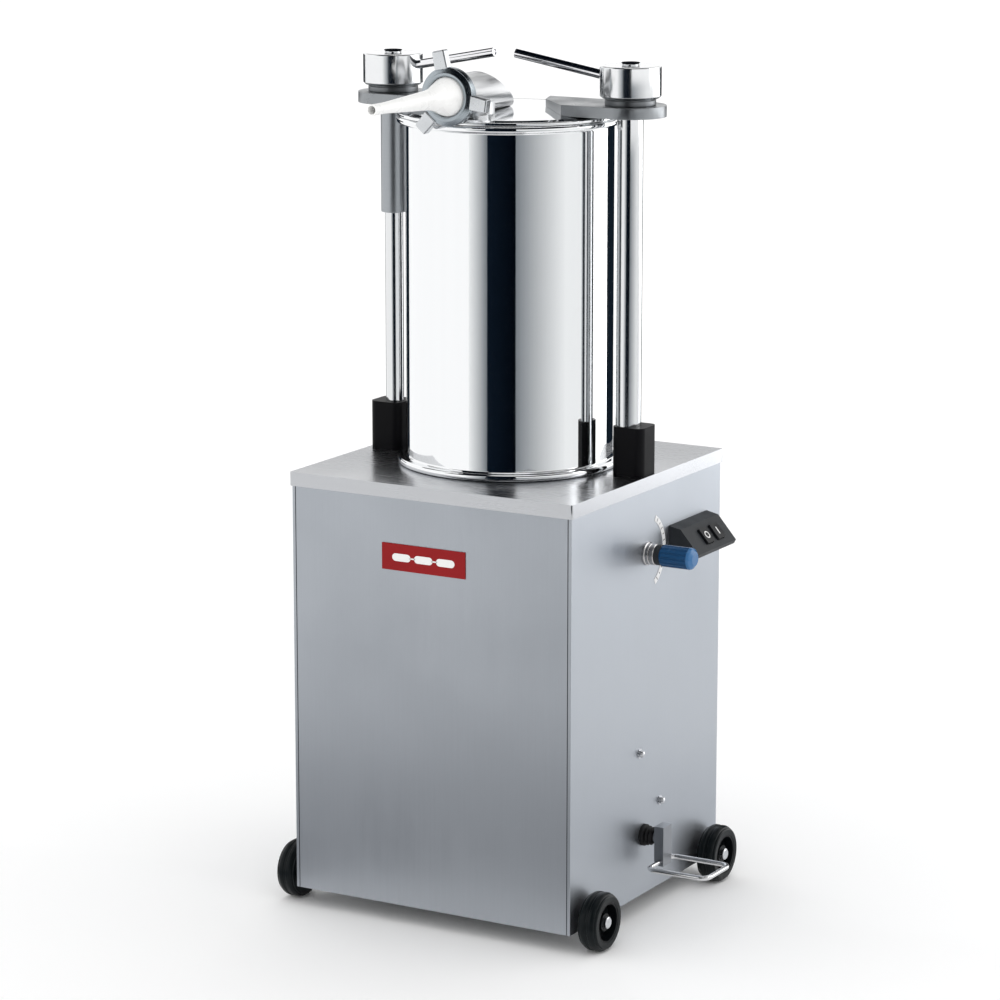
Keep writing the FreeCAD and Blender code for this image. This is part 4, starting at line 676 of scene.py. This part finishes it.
def make_speed_knob():
    low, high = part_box("speed_knob")
    at = on_axis("speed_knob", X)
    radius = (high.z - low.z) / 2
    bore, outside = radius - COLLAR_BORE_IN, radius - COLLAR_IN
    start, end = low.x - COLLAR_PROUD, low.x + COLLAR_LONG
    collar = [(bore, start), (outside, start, 0.6 * MM), (outside, end, 0.6 * MM), (bore, end)]
    add_to("speed_knob", lathe("speed_knob_collar", collar, at, X, segments=96),
           "switch_black")

    top = high.x + CAP_PROUD
    cap = [(0, top), (radius * CAP_FLAT, top, 1.5 * MM),
           (radius * CAP_SHOULDER, high.x - CAP_SHOULDER_DOWN, 3 * MM),
           (radius + CAP_OVER, high.x - CAP_SKIRT_DOWN, 0.4 * MM),
           (radius - CAP_END_IN, high.x - CAP_END_DOWN)]
    add_to("speed_knob", lathe("speed_knob_cap", cap, at, X, closed=False, segments=96),
           "blue_cap")


def make_scale_ticks():
    """Graduations along the curved scale, every second one longer."""
    low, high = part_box("curved_scale")
    centre = on_axis("speed_knob", X)
    radius = high.y - centre.y - SCALE_HALF
    for index in range(SCALE_TICKS):
        turn = math.radians(SCALE_SWEEP * (index / (SCALE_TICKS - 1) - 0.5))
        out = Vector((0, math.cos(turn), math.sin(turn)))
        middle = Vector((high.x + TICK_PROUD, centre.y, centre.z)) + out * radius
        half_long = TICK_HALF_LONG if index % 2 == 0 else TICK_HALF_SHORT
        corners = rectangle(middle, out, X.cross(out), half_long, TICK_HALF_WIDE)
        add_to("curved_scale", slab(f"scale_tick_{index + 1}", corners, X, PRINT_THICK),
               "ink")


def make_button_marks():
    """A bar for start and a ring for stop, on the buttons' sloping faces."""
    slope = math.radians(BUTTON_SLOPE)
    normal = Vector((math.sin(slope), 0, math.cos(slope)))
    down = Vector((math.cos(slope), 0, -math.sin(slope)))
    for node in ("start_button", "stop_button"):
        face = max(vertex.co.dot(normal) for vertex in frame["nodes"][node].data.vertices)
        middle = middle_of(node)
        middle += normal * (face + BUTTON_MARK_PROUD - middle.dot(normal))
        if node == "start_button":
            corners = rectangle(middle, down, Y, BAR_HALF_LONG, BAR_HALF_WIDE)
            mark = slab("start_mark", corners, normal, PRINT_THICK)
        else:
            ring = [(RING_BORE, -PRINT_THICK), (RING_RADIUS, -PRINT_THICK), (RING_RADIUS, 0),
                    (RING_BORE, 0)]
            mark = lathe("stop_mark", ring, middle, normal, segments=48)
        add_to(node, mark, "mark_white")


def capsule(name, centre, half_long, half_high, depth, steps):
    """A flat bar with round ends. half_long reaches to the ends' centres."""
    corners = []
    for end, start in ((1, -90), (-1, 90)):
        for k in range(steps + 1):
            turn = math.radians(start + 180 * k / steps)
            corners.append(centre + X * (end * half_long + math.cos(turn) * half_high)
                           + Z * math.sin(turn) * half_high)
    return slab(name, corners, -Y, depth)


def make_plate_mark():
    """Three capsules in a row, joined by two links: a plain mark with no lettering."""
    low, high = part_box("front_plate")
    face = middle_of("front_plate")
    face.y = low.y - PLATE_MARK_PROUD
    for index, place in enumerate((-1, 0, 1)):
        centre = face + X * place * CAPSULE_STEP
        add_to("front_plate",
               capsule(f"plate_capsule_{index + 1}", centre, CAPSULE_HALF_LONG,
                       CAPSULE_HALF_HIGH, CAPSULE_THICK, steps=10), "mark_white")
    for index, place in enumerate((-0.5, 0.5)):
        centre = face + X * place * CAPSULE_STEP
        add_to("front_plate",
               capsule(f"plate_link_{index + 1}", centre, LINK_HALF_LONG, LINK_HALF_HIGH,
                       LINK_THICK, steps=4), "mark_white")


def make_seams():
    """The joint between the front sheet and the folded side sheet, one at each front corner."""
    low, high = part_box("cabinet_shell")
    middle = middle_of("cabinet_shell")
    for side, x in (("left", low.x + SEAM_IN), ("right", high.x - SEAM_IN)):
        corners = rectangle(Vector((x, low.y - SEAM_PROUD, middle.z)), X, Z, SEAM_WIDE / 2,
                            (high.z - low.z) / 2)
        add_to("cabinet_shell", slab(f"{side}_seam", corners, -Y, PRINT_THICK), "seam")


# ---- stage, light and camera -----------------------------------------------------------


def flat_object(name, points, faces):
    mesh = bpy.data.meshes.new(name)
    mesh.from_pydata(points, [], faces)
    made = bpy.data.objects.new(name, mesh)
    bpy.context.scene.collection.objects.link(made)
    return made


def make_stage():
    scene = bpy.context.scene
    scene.view_settings.view_transform = "Standard"
    floor = flat_object("floor", rectangle(Vector(), X, Y, FLOOR_HALF, FLOOR_HALF),
                        [(0, 1, 2, 3)])
    pale = Shader("pale_floor", (FLOOR_SHADE, FLOOR_SHADE, FLOOR_SHADE), 0.0, 0.7)
    pale.vary_colour(pale.noise(scale=0.8, detail=2), 0.01)
    paint(floor, pale.material)

    world = bpy.data.worlds.new("studio")
    scene.world = world
    world.use_nodes = True
    back = world.node_tree.nodes["Background"]
    back.inputs["Color"].default_value = (1, 1, 1, 1)
    back.inputs["Strength"].default_value = WORLD_LIGHT


def soft_light(name, where, target, size, power):
    """A rectangular lamp that lights glossy surfaces only."""
    lamp = bpy.data.lights.new(name, "AREA")
    lamp.shape = "RECTANGLE"
    lamp.size, lamp.size_y = size
    lamp.energy = power
    made = bpy.data.objects.new(name, lamp)
    made.location = where
    made.rotation_euler = (Vector(target) - Vector(where)).to_track_quat("-Z", "Y").to_euler()
    made.visible_diffuse = False
    bpy.context.scene.collection.objects.link(made)


def arc(start, end, distance, height):
    """Points on a circle round the machine. Azimuth 0 is in front (-Y), and +X is at 90."""
    turns = [math.radians(start + (end - start) * k / ARC_STEPS) for k in range(ARC_STEPS + 1)]
    return [(math.sin(t) * distance, -math.cos(t) * distance, height) for t in turns]


def card(name, lower, upper, shade, shade_to):
    """A studio card between two rows of points, shaded from its first end to its last.
    It shows only in reflections."""
    count = len(lower)
    faces = [(k, k + 1, count + k + 1, count + k) for k in range(count - 1)]
    made = flat_object(name, [*lower, *upper], faces)
    tones = made.data.color_attributes.new("tone", "FLOAT_COLOR", "POINT")
    for k in range(2 * count):
        part = (k % count) / (count - 1)
        tone = [a + (b - a) * part for a, b in zip(shade, shade_to)]
        tones.data[k].color = (*tone, 1.0)
    cloth = Shader(name + "_cloth", shade, 0.0, 1.0, Specular_IOR_Level=0.0)
    painted_on = cloth.add("ShaderNodeVertexColor")
    painted_on.layer_name = "tone"
    cloth.link(painted_on.outputs["Color"], cloth.surface.inputs["Base Color"])
    paint(made, cloth.material)
    made.visible_camera = False
    made.visible_shadow = False
    made.visible_diffuse = False


def make_studio():
    """Soft lights, and the dark and pale cards that polished steel needs to mirror."""
    black, ink, navy = (0.001, 0.002, 0.004), (0.004, 0.008, 0.015), (0.006, 0.011, 0.018)
    soot, dusk, haze = (0.01, 0.012, 0.016), (0.16, 0.18, 0.20), (0.20, 0.22, 0.24)
    slate, lead, ash = (0.22, 0.22, 0.23), (0.36, 0.37, 0.39), (0.55, 0.56, 0.58)
    mist, white, frost = (0.80, 0.81, 0.83), (0.90, 0.91, 0.91), (0.92, 0.93, 0.95)
    # name, first and last azimuth, lower and upper edge as (distance, height), both ends' shades
    standing = (
        ("front_soft", -14, 6, (WALL_AWAY, 0.15), (WALL_AWAY, 1.3), white, dusk),
        ("front_dark", 6, 36, (WALL_AWAY, 0.15), (WALL_AWAY, 2.2), ink, black),
        ("right_soft", 36, 92, (WALL_AWAY, 0.10), (WALL_AWAY, 1.02), haze, white),
        ("right_pale", 92, 119, (WALL_AWAY, 0.10), (WALL_AWAY, 1.02), white, white),
        ("back_dark", 162, 246, (WALL_AWAY, 0.10), (WALL_AWAY, 0.88), navy, navy),
        ("knob_right_dark", 158, 194, (WALL_AWAY, 0.885), (WALL_AWAY, 1.12), ink, ink),
        ("knob_left_dark", 228, 258, (WALL_AWAY, 0.885), (WALL_AWAY, 1.12), ink, ink),
        ("overhead_dark", -45, 105, (1.6, 1.5), (1.5, 4.2), soot, soot),
        ("overhead_back", 150, 270, (1.6, 1.9), (1.1, 4.6), soot, soot),
    )
    for name, start, end, lower, upper, shade, shade_to in standing:
        card(name, arc(start, end, *lower), arc(start, end, *upper), shade, shade_to)

    front, back, left, right = -1.6, 1.8, -1.2, -0.15
    card("roof_dark", [(left, front, ROOF_CARD_Z), (right, front, ROOF_CARD_Z)],
         [(left, back, ROOF_CARD_Z), (right, back, ROOF_CARD_Z)], black, black)

    # name, first and last azimuth, near and far distance, both ends' shades
    lying = (("ground_front", -75, 50, 0.4, 1.05, lead, slate),
             ("ground_side", 100, 190, 0.4, 0.85, mist, mist),
             ("ground_far", 122, 168, 1.7, 4.2, frost, ash))
    for name, start, end, near, far, shade, shade_to in lying:
        card(name, arc(start, end, near, GROUND_CARD_Z), arc(start, end, far, GROUND_CARD_Z),
             shade, shade_to)

    # name, place, target, size and power
    lamps = (("side_fill", (2.4, 1.6, 1.6), (0.2, 0.0, 0.45), (2.4, 2.4), 27),
             ("low_fill", (1.3, 2.3, 0.5), (0.2, 0.0, 0.3), (1.5, 0.9), 6.5))
    for lamp in lamps:
        soft_light(*lamp)


def make_camera():
    azimuth, elevation = math.radians(CAMERA_AZIMUTH), math.radians(CAMERA_ELEVATION)
    back = Vector((math.sin(azimuth) * math.cos(elevation),
                   -math.cos(azimuth) * math.cos(elevation), math.sin(elevation)))
    data = bpy.data.cameras.new("camera")
    data.lens = CAMERA_LENS_MM
    data.sensor_width = CAMERA_SENSOR_MM
    data.clip_end = CAMERA_SEES_TO
    made = bpy.data.objects.new("camera", data)
    made.location = CAMERA_TARGET + back * CAMERA_AWAY
    made.rotation_euler = (-back).to_track_quat("-Z", "Y").to_euler()
    bpy.context.scene.collection.objects.link(made)
    bpy.context.scene.camera = made


dress_cad_nodes()
make_can()
make_lid()
make_column("left")
make_column("right")
make_hinge_sleeve()
make_clamp("left", LEFT_HEADING)
make_clamp("right", RIGHT_HEADING)
make_nozzle()
make_ring_nut()
make_wheels()
make_speed_knob()
make_scale_ticks()
make_button_marks()
make_plate_mark()
make_seams()
make_stage()
make_studio()
make_camera()
